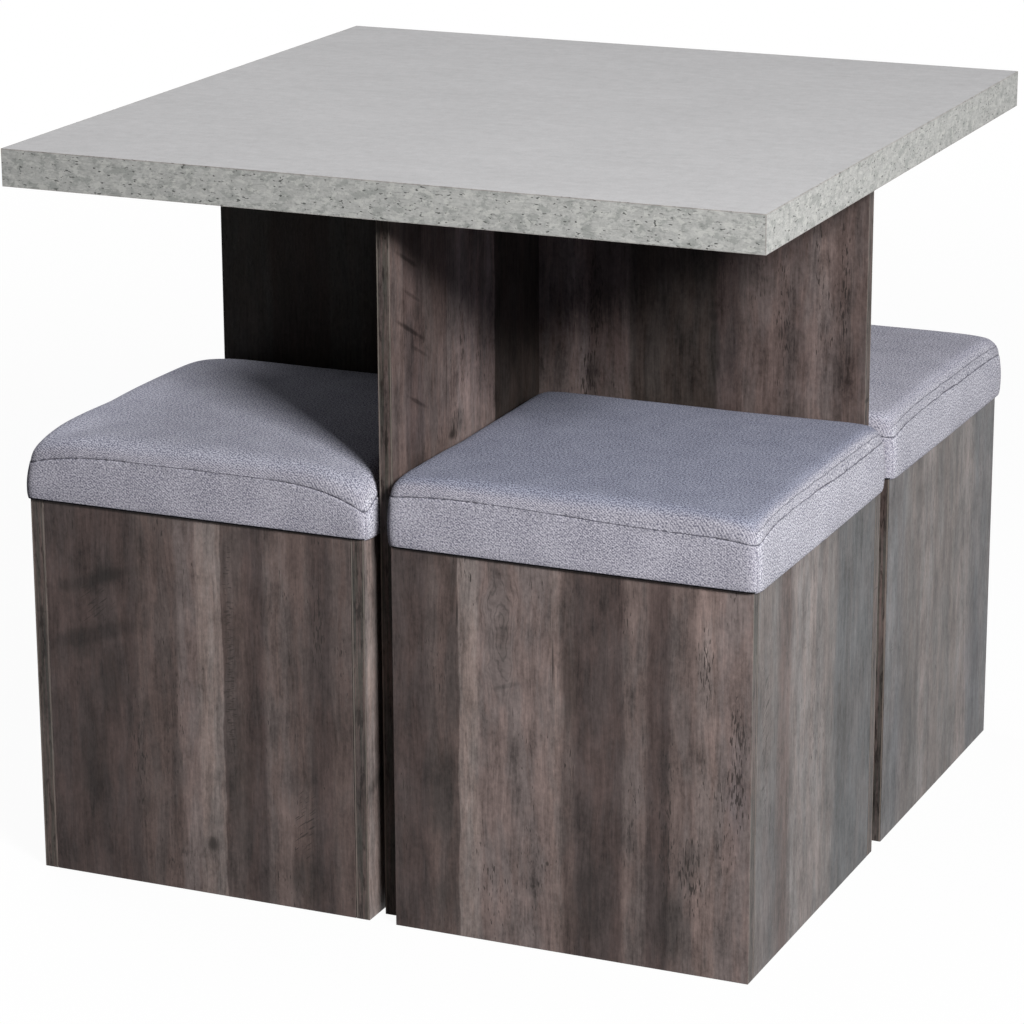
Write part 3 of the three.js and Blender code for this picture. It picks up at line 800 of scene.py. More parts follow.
def concrete_edge(name, across_axis):
    """Mottled band with brushed streaks and pits, drawn along its own length."""
    made, pen, shader = material(name, CONCRETE_EDGE, 0.5)
    places = pen.places()
    across, up = places[across_axis], places[2]

    def layer(fineness, height, shift, detail=4, roughness=0.7):
        x, y = pen.times(across, fineness), pen.times(up, height)
        return pen.noise(x, y, shift, detail, roughness)

    tone = 0.0
    for layer_form, weight in (((0.03, 0.05, 1.0), 0.5), ((0.3, 0.6, 2.0), 0.75), ((0.16, 0.5, 3.0), 0.6)):
        tone = pen.plus(tone, pen.around(layer(*layer_form), weight))
    color = pen.shade(CONCRETE_EDGE, pen.plus(1.0, tone))
    for value, low, patch in (
        (layer(0.06, 0.085, 5.0, 5, 0.65), 0.53, CONCRETE_PATCH),
        (layer(0.14, 0.21, 6.0, 4, 0.62), 0.57, CONCRETE_PATCH),
        (layer(0.1, 0.14, 16.0, 4, 0.62), 0.54, CONCRETE_LIGHT),
    ):
        color = pen.mix(pen.times(pen.step(value, low, low + 0.04), 0.54), color, patch)
    hair = pen.times(pen.step(layer(0.045, 0.7, 15.0, 2, 0.6), 0.62, 0.68), 0.35)
    color = pen.mix(hair, color, CONCRETE_PIT)
    pits = pen.step(layer(0.17, 0.36, 8.0, 1, 0.5), 0.65, 0.68)
    crowd = pen.step(layer(0.05, 0.06, 12.0, 1), 0.4, 0.5)
    pits = pen.times(pits, crowd)
    color = pen.mix(pen.times(pits, 0.9), color, CONCRETE_PIT)
    low, high = (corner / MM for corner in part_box("tabletop_front_edge_band"))
    arris = pen.near(up, high.z - 0.5, 0.8)
    foot = pen.times(pen.near(up, low.z + 0.4, 0.8), 0.6)
    end = pen.near(pen.math("ABSOLUTE", across), high.x - 0.4, 0.8)
    line = pen.math("MAXIMUM", pen.math("MAXIMUM", arris, foot), end)
    color = pen.mix(pen.times(line, 0.55), color, CONCRETE_LINE)
    pen.feed(shader.inputs["Base Color"], color)
    height = pen.minus(layer(0.3, 0.6, 2.0), pen.times(pits, 2.0))
    pen.feed(shader.inputs["Normal"], pen.bump(height, 0.0001))
    return made


def dress_top():
    dress("tabletop_board", concrete_top())
    along_x = concrete_edge("concrete_edge_long", 0)
    along_y = concrete_edge("concrete_edge_short", 1)
    for side, made in (("front", along_x), ("back", along_x), ("left", along_y), ("right", along_y)):
        dress(f"tabletop_{side}_edge_band", made)


# Small hardware and hidden wood
def metal(name, color, roughness):
    made, pen, shader = material(name, color, roughness, 1.0)
    x, y, z = pen.places()
    spangle = pen.noise(pen.times(x, 0.3), pen.times(y, 0.3), pen.times(z, 0.3), 3)
    level = pen.plus(0.85, pen.times(spangle, 0.3))
    pen.feed(shader.inputs["Base Color"], pen.shade(color, level))
    rough = pen.step(spangle, 0.3, 0.7, roughness - 0.08, roughness + 0.1)
    pen.feed(shader.inputs["Roughness"], rough)
    return made


def plain_wood(name, color, along_axis):
    made, pen, shader = material(name, color, 0.6)
    places = list(pen.places())
    scales = [0.8, 0.8, 0.8]
    scales[along_axis] = 0.03
    x, y, z = (pen.times(place, scale) for place, scale in zip(places, scales))
    grain = pen.noise(x, y, z, 3, 0.6)
    level = pen.plus(0.75, pen.times(grain, 0.5))
    pen.feed(shader.inputs["Base Color"], pen.shade(color, level))
    pen.feed(shader.inputs["Normal"], pen.bump(grain, 0.0001))
    return made


def dress_small_parts():
    zinc = metal("zinc_plated_steel", ZINC, 0.32)
    cast = metal("cast_zinc", CAST_ZINC, 0.42)
    beech_along_y = plain_wood("beech", BEECH, 1)
    ply = [plain_wood("ply_along_x", PLY, 0), plain_wood("ply_along_y", PLY, 1)]
    for name in nodes:
        low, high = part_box(name)
        long_axis = 0 if high[0] - low[0] >= high[1] - low[1] else 1
        if name.startswith("bracket_") or name.endswith("_bolt"):
            dress(name, zinc)
        if name.endswith("_cam"):
            dress(name, cast)
        if name.endswith("_dowel"):
            dress(name, beech_along_y)
        if name.endswith(("_lid_board", "_batten", "_base_panel")):
            dress(name, ply[long_axis])


# Woven fabric. The mesh's own map gives the place on the cloth, in metres.
# Painted light and shade: what the fabric's colour is multiplied by where a cushion faces up, darker and
# bluer on the front cushion, a little darker on the plain ones and lighter on the right one, for how the
# lamps light their tops
PLAIN_TOP_PAINTED_SHADE = (0.91, 0.94, 0.965, 1.0)
RIGHT_TOP_PAINTED_LIGHT = (1.03, 1.05, 1.06, 1.0)
FRONT_TOP_PAINTED_SHADE = (0.67, 0.72, 0.79, 1.0)
# The weave and the thread, in millimetres
RIB_PITCH = 4.0
RIB_LEAN = 1.5
STITCH_PITCH = 3.4
TOPSTITCH_PITCH = 4.2
TOPSTITCH_PLACE = -9.0
# Height above the lower edge, in millimetres, where the painted shadow fades out
PAINTED_SHADOW_EDGE = (1.8, 2.3)


def woven_fabric(name, top_painted_light, topstitched=False):
    made, pen, shader = material(name, FABRIC_LIGHT, 0.95, specular=0.08)
    uv = pen.add("ShaderNodeUVMap", uv_map="cloth").outputs[0]
    split = pen.add("ShaderNodeSeparateXYZ")
    pen.feed(split.inputs[0], uv)
    warp = pen.times(split.outputs[0], 1 / MM)
    weft = pen.times(split.outputs[1], 1 / MM)
    weft_along = pen.places()[1]
    below, beside, from_hem = (
        pen.times(pen.add("ShaderNodeAttribute", attribute_name=label).outputs["Fac"], 1 / MM)
        for label in ("below_seam", "beside_corner", "from_hem")
    )
    ribbed = pen.step(pen.near(below, -8.0, 16.0), 0.0, 1.0, 0.15, 0.35)
    wobble = pen.noise(pen.times(warp, 0.25), pen.times(weft, 0.25), 4.0, 2)
    slope = pen.plus(pen.plus(warp, pen.times(weft, RIB_LEAN)), pen.times(wobble, 2.0))
    ribs = pen.math("SINE", pen.times(slope, 2 * math.pi / RIB_PITCH))
    ribs = pen.plus(0.5, pen.times(ribs, 0.5))
    yarn = pen.noise(pen.times(warp, 0.85), pen.times(weft, 0.6), 1.0, 2, 0.6)
    fleck = pen.noise(pen.times(warp, 0.45), pen.times(weft, 0.62), 7.0, 2, 0.6)
    cloud = pen.noise(pen.times(warp, 0.03), pen.times(weft, 0.03), 9.0, 2)
    along_x, _, along_z = pen.facing()
    side = pen.step(pen.math("ABSOLUTE", along_x), 0.6, 0.9)
    contrast = pen.plus(pen.step(along_z, 0.3, 0.9, 1.8, 2.7), pen.times(side, 1.2))
    level = pen.plus(
        pen.times(pen.minus(pen.plus(yarn, fleck), 1.0), contrast),
        pen.plus(pen.around(ribs, ribbed), pen.around(cloud, 0.3)),
    )
    color = pen.mix(pen.step(level, -0.55, 0.55), FABRIC_DARK, FABRIC_LIGHT)
    # Painted light and shade on the cushion's top, multiplied in where it faces up
    color = pen.mix(pen.step(along_z, 0.45, 0.95), color, top_painted_light, "MULTIPLY")
    # Painted shade on the shoulder next to the seam
    color = pen.mix(pen.near(below, -9.0, 15.0), color, SHOULDER_PAINTED_SHADE, "MULTIPLY")
    # Painted light on the sides that face along X
    color = pen.mix(side, color, FABRIC_SIDE_PAINTED_LIGHT, "MULTIPLY")
    jitter = pen.around(pen.noise(pen.times(warp, 0.2), pen.times(weft, 0.05), 2.0), 2.0)
    seam = pen.near(pen.plus(below, jitter), 0.0, 0.8)
    on_band = pen.step(below, 0.0, 1.0)
    stitch = pen.step(pen.math("SINE", pen.times(below, 2 * math.pi / STITCH_PITCH)), -0.3, 0.2)
    corner = pen.times(pen.times(pen.near(beside, 0.0, 0.9), on_band), stitch)
    sunk = pen.math("MAXIMUM", seam, pen.times(corner, 0.7))
    color = pen.mix(pen.times(sunk, 0.85), color, THREAD)
    if topstitched:
        side = pen.step(beside, 0.0, 1.0)
        row = pen.times(pen.near(pen.plus(below, jitter), TOPSTITCH_PLACE, 1.0), side)
        dash = pen.math("SINE", pen.times(weft_along, 2 * math.pi / TOPSTITCH_PITCH))
        dash = pen.step(dash, -0.9, -0.5)
        row = pen.times(row, dash)
        color = pen.mix(pen.times(row, 0.75), color, THREAD)
        sunk = pen.math("MAXIMUM", sunk, pen.times(row, 0.6))
    # Painted shadow: a dark band along the lower edge on the front and back sides, where the overhang shades
    # the wall below
    painted_shadow = pen.step(from_hem, *PAINTED_SHADOW_EDGE, 1.0, 0.0)
    painted_shadow = pen.times(painted_shadow, pen.step(beside, -2.0, 0.0, 1.0, 0.0))
    color = pen.mix(painted_shadow, color, HEM_PAINTED_SHADOW)
    pen.feed(shader.inputs["Base Color"], color)
    height = pen.plus(pen.times(ribs, 0.6), pen.times(yarn, 0.8))
    height = pen.minus(height, pen.times(sunk, 2.5))
    pen.feed(shader.inputs["Normal"], pen.bump(height, 0.00035, 0.4))
    return made


# Cushions
GRID_CELLS = 44
CORNER_RADIUS = 0.0105
DEPTH_SHARE = 0.990
DRAW_IN = 0.003
BAND_BULGE = 0.0016
LOWER_INSET = 0.0022
SWELL = 0.0008
OUTER_SWELL = 0.0014
SHOULDER_FALL = 0.7
LIP_OUTER = 0.1880
LIP_HALF = 0.1866
LIP_TOP = 0.4131
SEAM_WIDTH = 0.0014
SEAM_DEPTH = 0.0016
SAME_PLACE = 0.00005
PUCKER_REACH = 0.006
PUCKER_HEIGHT = 0.00045
PRESSURE = 4.0
SIM_FRAMES = 20
SIM_CAP = 0.0022
SHIFT_SMOOTHING = 12
BAND_SHARES = (0.14, 0.34, 0.54, 0.74, 0.9)

# Each cushion's seam height at the middle of a side, how far it falls at the corners (left front,
# right front, right back, left back) and how sharply, its wave, the shoulder's height and width on
# the front and on the sides, the top of the crown, how far the lower edge hangs down, and how far the
# left and right corners are drawn in
CUSHION_FORMS = {
    "front": dict(seam=0.4485, falls=(0.002, 0.0065, 0.0005, 0.002), arch=5, wave=0.0025, shoulder=0.4650,
                  spread=(0.022, 0.013), crown=0.4715, hang=0.0055, tuck=(0.0012, 0.0015)),
    "left": dict(seam=0.4495, falls=(0.014, 0.0235, 0.012, 0.007), arch=4.5, wave=0.0, shoulder=0.4640,
                 spread=(0.032, 0.018), crown=0.4705, hang=0.0024, tuck=(0.0042, 0.0015)),
    "back": dict(seam=0.4455, falls=(0.018, 0.007, 0.006, 0.010), arch=3, wave=0.001, shoulder=0.4605,
                 spread=(0.024, 0.026), crown=0.4650, hang=0.0015, tuck=(0.0042, 0.0015)),
    "right": dict(seam=0.4475, falls=(0.004, 0.005, 0.003, 0.004), arch=4, wave=0.001, shoulder=0.4650,
                  spread=(0.022, 0.014), crown=0.4720, hang=0.0030, tuck=(0.0042, 0.0015)),
}


def only(piece):
    """Makes this the one selected and active object."""
    for other in bpy.context.view_layer.objects:
        other.select_set(False)
    piece.select_set(True)
    bpy.context.view_layer.objects.active = piece


def apply_modifier(piece, name):
    only(piece)
    bpy.ops.object.modifier_apply(modifier=name)


def cushion_blank(name):
    """A square grid for the top, with rows drawn down from its border: the band, the lower edge,
    the lip round the board and the ceiling over it. Row numbers are kept in z."""
    for other in bpy.context.view_layer.objects:
        other.select_set(False)
    bpy.ops.mesh.primitive_grid_add(x_subdivisions=GRID_CELLS, y_subdivisions=GRID_CELLS, size=2)
    piece = bpy.context.active_object
    piece.name = name
    bpy.ops.object.mode_set(mode="EDIT")
    bpy.ops.mesh.select_mode(type="EDGE")
    bpy.ops.mesh.select_all(action="DESELECT")
    bpy.ops.mesh.select_non_manifold()
    for _ in range(len(BAND_SHARES) + 4):
        bpy.ops.mesh.extrude_edges_move(TRANSFORM_OT_translate={"value": (0, 0, -1)})
    bpy.ops.mesh.fill_grid(span=GRID_CELLS)
    bpy.ops.mesh.select_all(action="SELECT")
    bpy.ops.mesh.normals_make_consistent(inside=False)
    bpy.ops.object.mode_set(mode="OBJECT")
    return piece


def rounded(direction_x, direction_y, half, radius):
    """Point of a rounded square's outline in the direction of a unit square's border point."""
    x, y = direction_x * half, direction_y * half
    inner = half - radius
    cx, cy = np.clip(x, -inner, inner), np.clip(y, -inner, inner)
    dx, dy = x - cx, y - cy
    length = np.maximum(np.hypot(dx, dy), 1e-9)
    return cx + radius * dx / length, cy + radius * dy / length


def shape_cushion(piece, middle, half, bottom, form):
    """Moves the blank's points to the cushion's form, and writes the cloth map."""
    mesh = piece.data
    co = np.empty(len(mesh.vertices) * 3)
    mesh.vertices.foreach_get("co", co)
    co = co.reshape(-1, 3)
    a, b = co[:, 0], co[:, 1]
    row = np.rint(-co[:, 2]).astype(int)
    last = len(BAND_SHARES) + 4
    ring = np.maximum(np.abs(a), np.abs(b))
    safe = np.maximum(ring, 1e-9)
    dir_x, dir_y = np.where(ring > 1e-9, a / safe, 1.0), np.where(ring > 1e-9, b / safe, 0.0)
    side = np.where(np.abs(dir_x) >= np.abs(dir_y), dir_y, dir_x)
    inward = np.clip(2 * ring - 1, 0, 1) ** 2
    crisp = np.clip(5 * ring - 4, 0, 1) ** 2
    soft = (side**2 * (3 - 2 * np.abs(side))) ** (2.67 * form["arch"])
    corner = (crisp * np.abs(side) ** form["arch"] + (1 - crisp) * soft) * inward
    quarter = np.where(dir_y < 0, np.where(dir_x < 0, 0, 1), np.where(dir_x < 0, 3, 2))
    fall = np.array(form["falls"])[quarter] * corner
    seam = form["seam"] - fall - form["wave"] * np.sin(math.pi * side) * inward
    shoulder = form["shoulder"] - SHOULDER_FALL * fall
    draw = DRAW_IN * (1 - side**2) + side**2 * np.where(dir_x < 0, *form["tuck"])
    outward = np.clip(dir_x * np.sign(middle.x) + dir_y * np.sign(middle.y), 0, 1)
    swell = SWELL + OUTER_SWELL * outward
    hang = bottom - form["hang"]

    sideways = (1 - np.cos(math.pi * dir_x**2)) / 2
    spread = form["spread"][0] + (form["spread"][1] - form["spread"][0]) * sideways
    rise = form["shoulder"] - form["seam"]
    flat = half - spread
    curve = math.pi / 2 * np.sqrt((spread**2 + rise**2) / 2)
    total = flat + curve
    reach = ring * total
    on_top = row == 0
    angle = np.clip((reach - flat) / curve, 0, 1) * math.pi / 2
    inset = np.where(reach < flat, half - reach, spread * (1 - np.sin(angle)))
    z_top = seam + (shoulder - seam) * np.cos(angle)
    x, y = np.zeros(len(a)), np.zeros(len(a))
    ring_half = half - inset + (swell - draw) * np.where(reach < flat, ring, 1)
    ring_radius = CORNER_RADIUS * np.clip(ring, 0.02, 1) + 0.5 * np.minimum(inset, spread) * ring**2
    rx, ry = rounded(dir_x, dir_y, ring_half, np.minimum(ring_radius, ring_half * 0.999))
    x[on_top], y[on_top] = rx[on_top], ry[on_top]
    crown = form["crown"] - form["shoulder"]
    plan = np.clip(1 - (x / half) ** 2, 0, 1) ** 0.8 * np.clip(1 - (y / half) ** 2, 0, 1) ** 0.8
    z = z_top + crown * plan

    tall = seam - hang
    for index, share in enumerate(BAND_SHARES, start=1):
        here = row == index
        out = half + swell - draw * (1 - 0.8 * share) + BAND_BULGE * math.sin(math.pi * share) - 0.0004
        bx, by = rounded(dir_x, dir_y, out, CORNER_RADIUS)
        x[here], y[here] = bx[here], by[here]
        z[here] = (seam - tall * share)[here]
    lower = {
        last - 3: (half + swell - 0.2 * draw - 0.0008, hang + 0.0008, CORNER_RADIUS),
        last - 2: (half + swell - LOWER_INSET, hang, CORNER_RADIUS - 0.001),
        last - 1: (LIP_OUTER, bottom, 0.011),
        last: (LIP_HALF, LIP_TOP, 0.010),
    }
    for index, (out, height, radius) in lower.items():
        here = (row == index) & (ring > 0.999)
        bx, by = rounded(dir_x, dir_y, out, radius)
        x[here], y[here] = bx[here], by[here]
        z[here] = np.broadcast_to(height, z.shape)[here]
    y[row <= last - 2] *= DEPTH_SHARE
    ceiling = (row == last) & (ring <= 0.999)
    x[ceiling], y[ceiling] = (a * LIP_HALF)[ceiling], (b * LIP_HALF)[ceiling]
    z[ceiling] = LIP_TOP

    uv_layer = mesh.uv_layers.new(name="cloth")
    for layer in [layer for layer in mesh.uv_layers if layer.name != "cloth"]:
        mesh.uv_layers.remove(layer)
    uv_layer = mesh.uv_layers["cloth"]
    down = total + np.where(row == 0, 0, (seam - z))
    for face in mesh.polygons:
        ids = list(face.vertices)
        rows = row[ids]
        if rows.max() == 0:
            for loop, v in zip(face.loop_indices, ids):
                uv_layer.data[loop].uv = (a[v] * total[v], b[v] * total[v])
            continue
        side_x = abs(np.mean(a[ids])) > abs(np.mean(b[ids]))
        for loop, v in zip(face.loop_indices, ids):
            along = b[v] * half if side_x else a[v] * half
            uv_layer.data[loop].uv = (along + (0.9 if side_x else 0.0), -down[v])
    below_seam = np.where(row == 0, reach - total, seam - z)
    beside_corner = (np.abs(dir_x) - np.abs(dir_y)) * half
    from_hem = z - hang
    given = {"below_seam": below_seam, "beside_corner": beside_corner, "from_hem": from_hem}
    for label, values in given.items():
        mesh.attributes.new(label, "FLOAT", "POINT").data.foreach_set("value", values)
    mesh.vertices.foreach_set("co", np.column_stack([x + middle.x, y + middle.y, z]).ravel())
    mesh.update()
    return row, ring, side


def puff(piece, row):
    """Lets the cover swell under pressure, held at the lower edge, and smooths and caps how far each point
    moves.
    """
    rest = np.array([v.co[:] for v in piece.data.vertices])
    held = piece.vertex_groups.new(name="held")
    firm = [int(i) for i in np.nonzero(row >= len(BAND_SHARES))[0]]
    held.add(firm, 1.0, "REPLACE")
    cloth = piece.modifiers.new("cloth", "CLOTH")
    settings = cloth.settings
    settings.quality = 5
    settings.mass = 0.3
    settings.tension_stiffness = 20
    settings.compression_stiffness = 20
    settings.bending_stiffness = 10
    settings.use_pressure = True
    settings.uniform_pressure_force = PRESSURE
    settings.effector_weights.gravity = 0
    settings.vertex_group_mass = "held"
    settings.shrink_min = -0.012
    cloth.collision_settings.use_self_collision = False
    cloth.point_cache.frame_end = SIM_FRAMES
    for step in range(1, SIM_FRAMES + 1):
        scene.frame_set(step)
    apply_modifier(piece, "cloth")
    scene.frame_set(1)
    moved = np.array([v.co[:] for v in piece.data.vertices])
    shift = moved - rest
    ends = np.array([edge.vertices[:] for edge in piece.data.edges])
    for _ in range(SHIFT_SMOOTHING):
        total, count = shift.copy(), np.ones((len(shift), 1))
        for near, far in (ends.T, ends.T[::-1]):
            np.add.at(total, near, shift[far])
            np.add.at(count, near, 1)
        shift = np.where(row[:, None] >= len(BAND_SHARES), shift, total / count)
    length = np.linalg.norm(shift, axis=1, keepdims=True)
    shift *= SIM_CAP * np.tanh(length / SIM_CAP) / np.maximum(length, 1e-9)
    piece.data.vertices.foreach_set("co", (rest + shift).ravel())
    piece.data.update()


def select_edges(piece, wanted):
    """Selects, in edit mode, the edges whose two points are both wanted."""
    only(piece)
    bpy.ops.object.mode_set(mode="EDIT")
    bpy.ops.mesh.select_mode(type="EDGE")
    bpy.ops.mesh.select_all(action="DESELECT")
    bpy.ops.object.mode_set(mode="OBJECT")
    for edge in piece.data.edges:
        edge.select = edge.vertices[0] in wanted and edge.vertices[1] in wanted
    bpy.ops.object.mode_set(mode="EDIT")


def sew(piece, lines):
    """Turns each line of edges into a narrow sunk seam. A line is a list of point numbers."""
    lines = [[piece.data.vertices[i].co.copy() for i in line] for line in lines]
    for line in lines:
        tree = point_tree(line)
        wanted = {v.index for v in piece.data.vertices if tree.find(v.co)[2] < SAME_PLACE}
        select_edges(piece, wanted)
        bpy.ops.mesh.bevel(offset=SEAM_WIDTH, segments=2, profile=1.0, affect="EDGES")
        bpy.ops.object.mode_set(mode="OBJECT")
    tree = point_tree([place for line in lines for place in line])
    for v in piece.data.vertices:
        if tree.find(v.co)[2] < SAME_PLACE:
            v.co -= v.normal * SEAM_DEPTH


def point_tree(places):
    tree = KDTree(len(places))
    for index, place in enumerate(places):
        tree.insert(place, index)
    tree.balance()
    return tree


def pucker(piece, seam_height):
    """Small gathers in the cloth on both sides of the seam."""
    mesh = piece.data
    count = len(mesh.vertices)
    co, normal = np.empty(count * 3), np.empty(count * 3)
    mesh.vertices.foreach_get("co", co)
    mesh.vertices.foreach_get("normal", normal)
    co, normal = co.reshape(-1, 3), normal.reshape(-1, 3)
    near = np.exp(-(((co[:, 2] - seam_height) / PUCKER_REACH) ** 2))
    flat = np.clip(1.2 - np.abs(normal[:, 2]), 0, 1)
    run = co[:, 0] + co[:, 1]
    wave = (
        np.sin(run / 0.0017 + 3 * np.sin(run / 0.021))
        + 0.8 * np.sin(run / 0.0029 + 2 * np.sin(run / 0.034))
        + 0.9 * np.sin(run / 0.0071 + 2 * np.sin(run / 0.05))
    )
    co += normal * (wave * near * flat * PUCKER_HEIGHT / 2.7)[:, None]
    mesh.vertices.foreach_set("co", co.ravel())
    mesh.update()


def build_cushion(stool, fabric):
    name = f"{stool}_lid_cover"
    node = f"{stool}_lid_cushion"
    low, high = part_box(node)
    middle = (low + high) / 2
    half = (high.x - low.x) / 2
    piece = cushion_blank(name)
    row, ring, side = shape_cushion(piece, middle, half, low.z, CUSHION_FORMS[stool])
    puff(piece, row)
    border = (row == 0) & (ring > 0.999)
    corner = (np.abs(side) > 0.999) & (row <= len(BAND_SHARES) + 1) & ((row > 0) | border)
    sew(piece, [list(np.nonzero(border)[0]), list(np.nonzero(corner)[0])])
    subdivide = piece.modifiers.new("smooth", "SUBSURF")
    subdivide.levels = subdivide.render_levels = 2
    apply_modifier(piece, "smooth")
    pucker(piece, CUSHION_FORMS[stool]["seam"])
    only(piece)
    bpy.ops.object.shade_smooth()
    piece.data.materials.clear()
    piece.data.materials.append(fabric)
    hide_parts(node)
    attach(piece, f"{stool}_lid")
    return piece


# Cover's turned-under edge, its staples, and the bracket screws
HEM_OUTER = 0.186
HEM_WIDTH = 0.028
HEM_TOP = 0.40027
HEM_THICKNESS = 0.00024
STAPLE_CROWN = 0.010
STAPLE_WIRE = 0.0009
STAPLE_LEG = 0.003
STAPLES_A_SIDE = 9
STAPLE_LINE = 0.165
STAPLE_SPACING = 0.032
HEAD_RADIUS = 0.0037
HEAD_SKIRT = 0.0009
SHANK_RADIUS = 0.0017
SHANK_LENGTH = 0.009
RECESS_LENGTH = 0.0042
RECESS_WIDTH = 0.0009
RECESS_DEPTH = 0.0012
SCREW_REACH = 0.020
SCREW_SPACING = 0.016
BRACKET_STEEL = 0.002


def select_faces(piece, wanted):
    """Selects, in edit mode, the faces that a test of the face picks."""
    bpy.ops.object.mode_set(mode="EDIT")
    bpy.ops.mesh.select_mode(type="FACE")
    bpy.ops.mesh.select_all(action="DESELECT")
    bpy.ops.object.mode_set(mode="OBJECT")
    for face in piece.data.polygons:
        face.select = wanted(face)
    bpy.ops.object.mode_set(mode="EDIT")


def start_piece(add, **settings):
    """Adds a primitive with nothing else selected."""
    for other in bpy.context.view_layer.objects:
        other.select_set(False)
    add(**settings)
    return bpy.context.active_object


def settle(piece):
    """Puts the piece's turn, scale and place into its mesh."""
    only(piece)
    bpy.ops.object.transform_apply(location=True, rotation=True, scale=True)


def joined(parts, name):
    only(parts[0])
    for part in parts[1:]:
        part.select_set(True)
    bpy.ops.object.join()
    parts[0].name = name
    return parts[0]


def copy_of(piece, placing):
    copy = piece.copy()
    copy.data = piece.data.copy()
    scene.collection.objects.link(copy)
    copy.data.transform(placing)
    return copy


def finish_piece(piece, made, body):
    piece.data.materials.clear()
    piece.data.materials.append(made)
    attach(piece, body)


def build_hem(stool, fabric):
    low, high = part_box(f"{stool}_lid_board")
    middle = (low + high) / 2
    place = (middle.x, middle.y, HEM_TOP)
    hem = start_piece(bpy.ops.mesh.primitive_plane_add, size=2 * HEM_OUTER, location=place)
    settle(hem)
    bpy.ops.object.mode_set(mode="EDIT")
    bpy.ops.mesh.select_all(action="SELECT")
    bpy.ops.mesh.bevel(offset=0.010, segments=4, affect="VERTICES")
    bpy.ops.mesh.select_all(action="SELECT")
    bpy.ops.mesh.inset(thickness=HEM_WIDTH)
    bpy.ops.mesh.delete(type="FACE")
    bpy.ops.mesh.select_all(action="SELECT")
    bpy.ops.mesh.extrude_region_move(TRANSFORM_OT_translate={"value": (0, 0, -HEM_THICKNESS)})
    bpy.ops.mesh.select_all(action="SELECT")
    bpy.ops.mesh.normals_make_consistent(inside=False)
    bpy.ops.object.mode_set(mode="OBJECT")
    hem.name = f"{stool}_lid_hem"
    finish_piece(hem, fabric, f"{stool}_lid")


def staple():
    """One wire staple, its crown along Y with its lower face at z = 0, and its legs up."""
    bars = []
    for y, z, size in (
        (0, STAPLE_WIRE / 2, (STAPLE_WIRE, STAPLE_CROWN, STAPLE_WIRE)),
        ((STAPLE_CROWN - STAPLE_WIRE) / 2, STAPLE_LEG / 2, (STAPLE_WIRE, STAPLE_WIRE, STAPLE_LEG)),
        ((STAPLE_WIRE - STAPLE_CROWN) / 2, STAPLE_LEG / 2, (STAPLE_WIRE, STAPLE_WIRE, STAPLE_LEG)),
    ):
        bar = start_piece(bpy.ops.mesh.primitive_cube_add, size=1, location=(0, y, z))
        bar.scale = size
        settle(bar)
        bars.append(bar)
    whole = bars[0]
    for bar in bars[1:]:
        union = whole.modifiers.new("union", "BOOLEAN")
        union.operation = "UNION"
        union.object = bar
        apply_modifier(whole, "union")
        bpy.data.objects.remove(bar)
    bevel = whole.modifiers.new("round", "BEVEL")
    bevel.width = STAPLE_WIRE / 5
    bevel.segments = 2
    apply_modifier(whole, "round")
    return whole


def build_staples(steel):
    first = staple()
    for stool in STOOLS:
        low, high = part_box(f"{stool}_lid_board")
        middle = (low + high) / 2
        copies = []
        for side in (-1, 1):
            for index in range(STAPLES_A_SIDE):
                along = (index - (STAPLES_A_SIDE - 1) / 2) * STAPLE_SPACING
                slant = Matrix.Rotation(math.radians(7 * math.sin(5.0 * index + side)), 4, "Z")
                height = HEM_TOP - HEM_THICKNESS - STAPLE_WIRE
                place = Vector((middle.x + side * STAPLE_LINE, middle.y + along, height))
                copies.append(copy_of(first, Matrix.Translation(place) @ slant))
        finish_piece(joined(copies, f"{stool}_lid_staples"), steel, f"{stool}_lid")
    bpy.data.objects.remove(first)


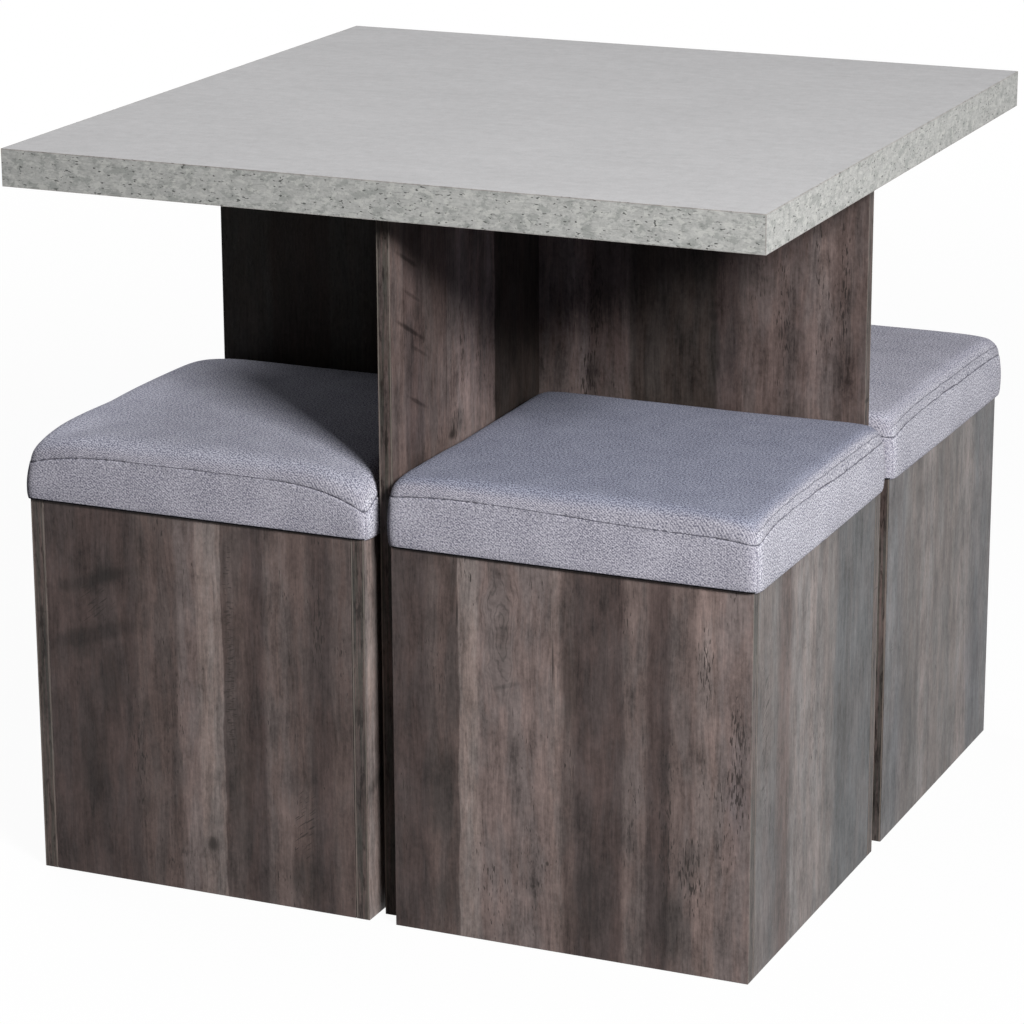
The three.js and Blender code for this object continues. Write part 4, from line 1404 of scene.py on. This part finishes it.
def pan_head_screw():
    """A screw along Z: the underside of its head at z = 0, its cross recess on top."""
    screw = start_piece(
        bpy.ops.mesh.primitive_cylinder_add,
        vertices=20,
        radius=HEAD_RADIUS,
        depth=HEAD_SKIRT,
        location=(0, 0, HEAD_SKIRT / 2),
    )
    settle(screw)
    select_faces(screw, lambda face: face.normal.z > 0.9)
    for width, rise in ((0.0004, 0.0005), (0.0007, 0.0004), (0.0010, 0.0002)):
        bpy.ops.mesh.inset(thickness=width, depth=rise)
    bpy.ops.object.mode_set(mode="OBJECT")
    select_faces(screw, lambda face: face.normal.z < -0.9)
    bpy.ops.mesh.inset(thickness=HEAD_RADIUS - SHANK_RADIUS)
    bpy.ops.mesh.extrude_region_move(TRANSFORM_OT_translate={"value": (0, 0, -SHANK_LENGTH)})
    bpy.ops.mesh.extrude_region_move(TRANSFORM_OT_translate={"value": (0, 0, -SHANK_RADIUS * 2)})
    bpy.ops.transform.resize(value=(0.15, 0.15, 1))
    bpy.ops.object.mode_set(mode="OBJECT")
    top = max(v.co.z for v in screw.data.vertices)
    for size in ((RECESS_LENGTH, RECESS_WIDTH), (RECESS_WIDTH, RECESS_LENGTH)):
        cutter = start_piece(bpy.ops.mesh.primitive_cube_add, size=1, location=(0, 0, top))
        cutter.scale = (*size, 2 * RECESS_DEPTH)
        settle(cutter)
        recess = screw.modifiers.new("recess", "BOOLEAN")
        recess.operation = "DIFFERENCE"
        recess.object = cutter
        apply_modifier(screw, "recess")
        bpy.data.objects.remove(cutter)
    return screw


def build_screws(steel):
    """Two screws in each leg of every bracket, one pair up into the top and one into the panel."""
    first = pan_head_screw()
    copies = []
    for name in sorted(n for n in nodes if n.startswith("bracket_")):
        low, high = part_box(name)
        middle = (low + high) / 2
        size = high - low
        leg_axis = 0 if size.x < size.y else 1
        side = math.copysign(1, middle[leg_axis])
        outward = Vector((side, 0, 0)) if leg_axis == 0 else Vector((0, side, 0))
        along = Vector((0, 1, 0)) if leg_axis == 0 else Vector((1, 0, 0))
        panel_face = min(abs(low[leg_axis]), abs(high[leg_axis]))
        base = along * middle.dot(along)
        for offset in (-SCREW_SPACING / 2, SCREW_SPACING / 2):
            slot_turn = Matrix.Rotation(41.0 * len(copies), 4, "Z")
            upper = base + along * offset + outward * (panel_face + SCREW_REACH)
            upper.z = high.z - BRACKET_STEEL
            down = Vector((0, 0, -1)).to_track_quat("Z", "Y").to_matrix().to_4x4()
            copies.append(copy_of(first, Matrix.Translation(upper) @ down @ slot_turn))
            lower = base + along * offset + outward * (panel_face + BRACKET_STEEL)
            lower.z = high.z - SCREW_REACH
            aside = outward.to_track_quat("Z", "Y").to_matrix().to_4x4()
            copies.append(copy_of(first, Matrix.Translation(lower) @ aside @ slot_turn))
    bpy.data.objects.remove(first)
    finish_piece(joined(copies, "bracket_screws"), steel, "table")


place_camera()
build_studio()
dress_top()
dress_panels()
dress_small_parts()
# The three fabrics differ in the painted light and shade on their tops, and two of them are topstitched
plain = woven_fabric("woven_fabric", PLAIN_TOP_PAINTED_SHADE)
topstitched = woven_fabric("woven_fabric_topstitched", RIGHT_TOP_PAINTED_LIGHT, True)
front_fabric = woven_fabric("woven_fabric_front", FRONT_TOP_PAINTED_SHADE, True)
for stool, fabric in zip(STOOLS, (front_fabric, plain, plain, topstitched)):
    build_cushion(stool, fabric)
    build_hem(stool, plain)
screw_steel = metal("screw_steel", ZINC, 0.3)
build_staples(screw_steel)
build_screws(screw_steel)

scene.view_settings.view_transform = "Standard"
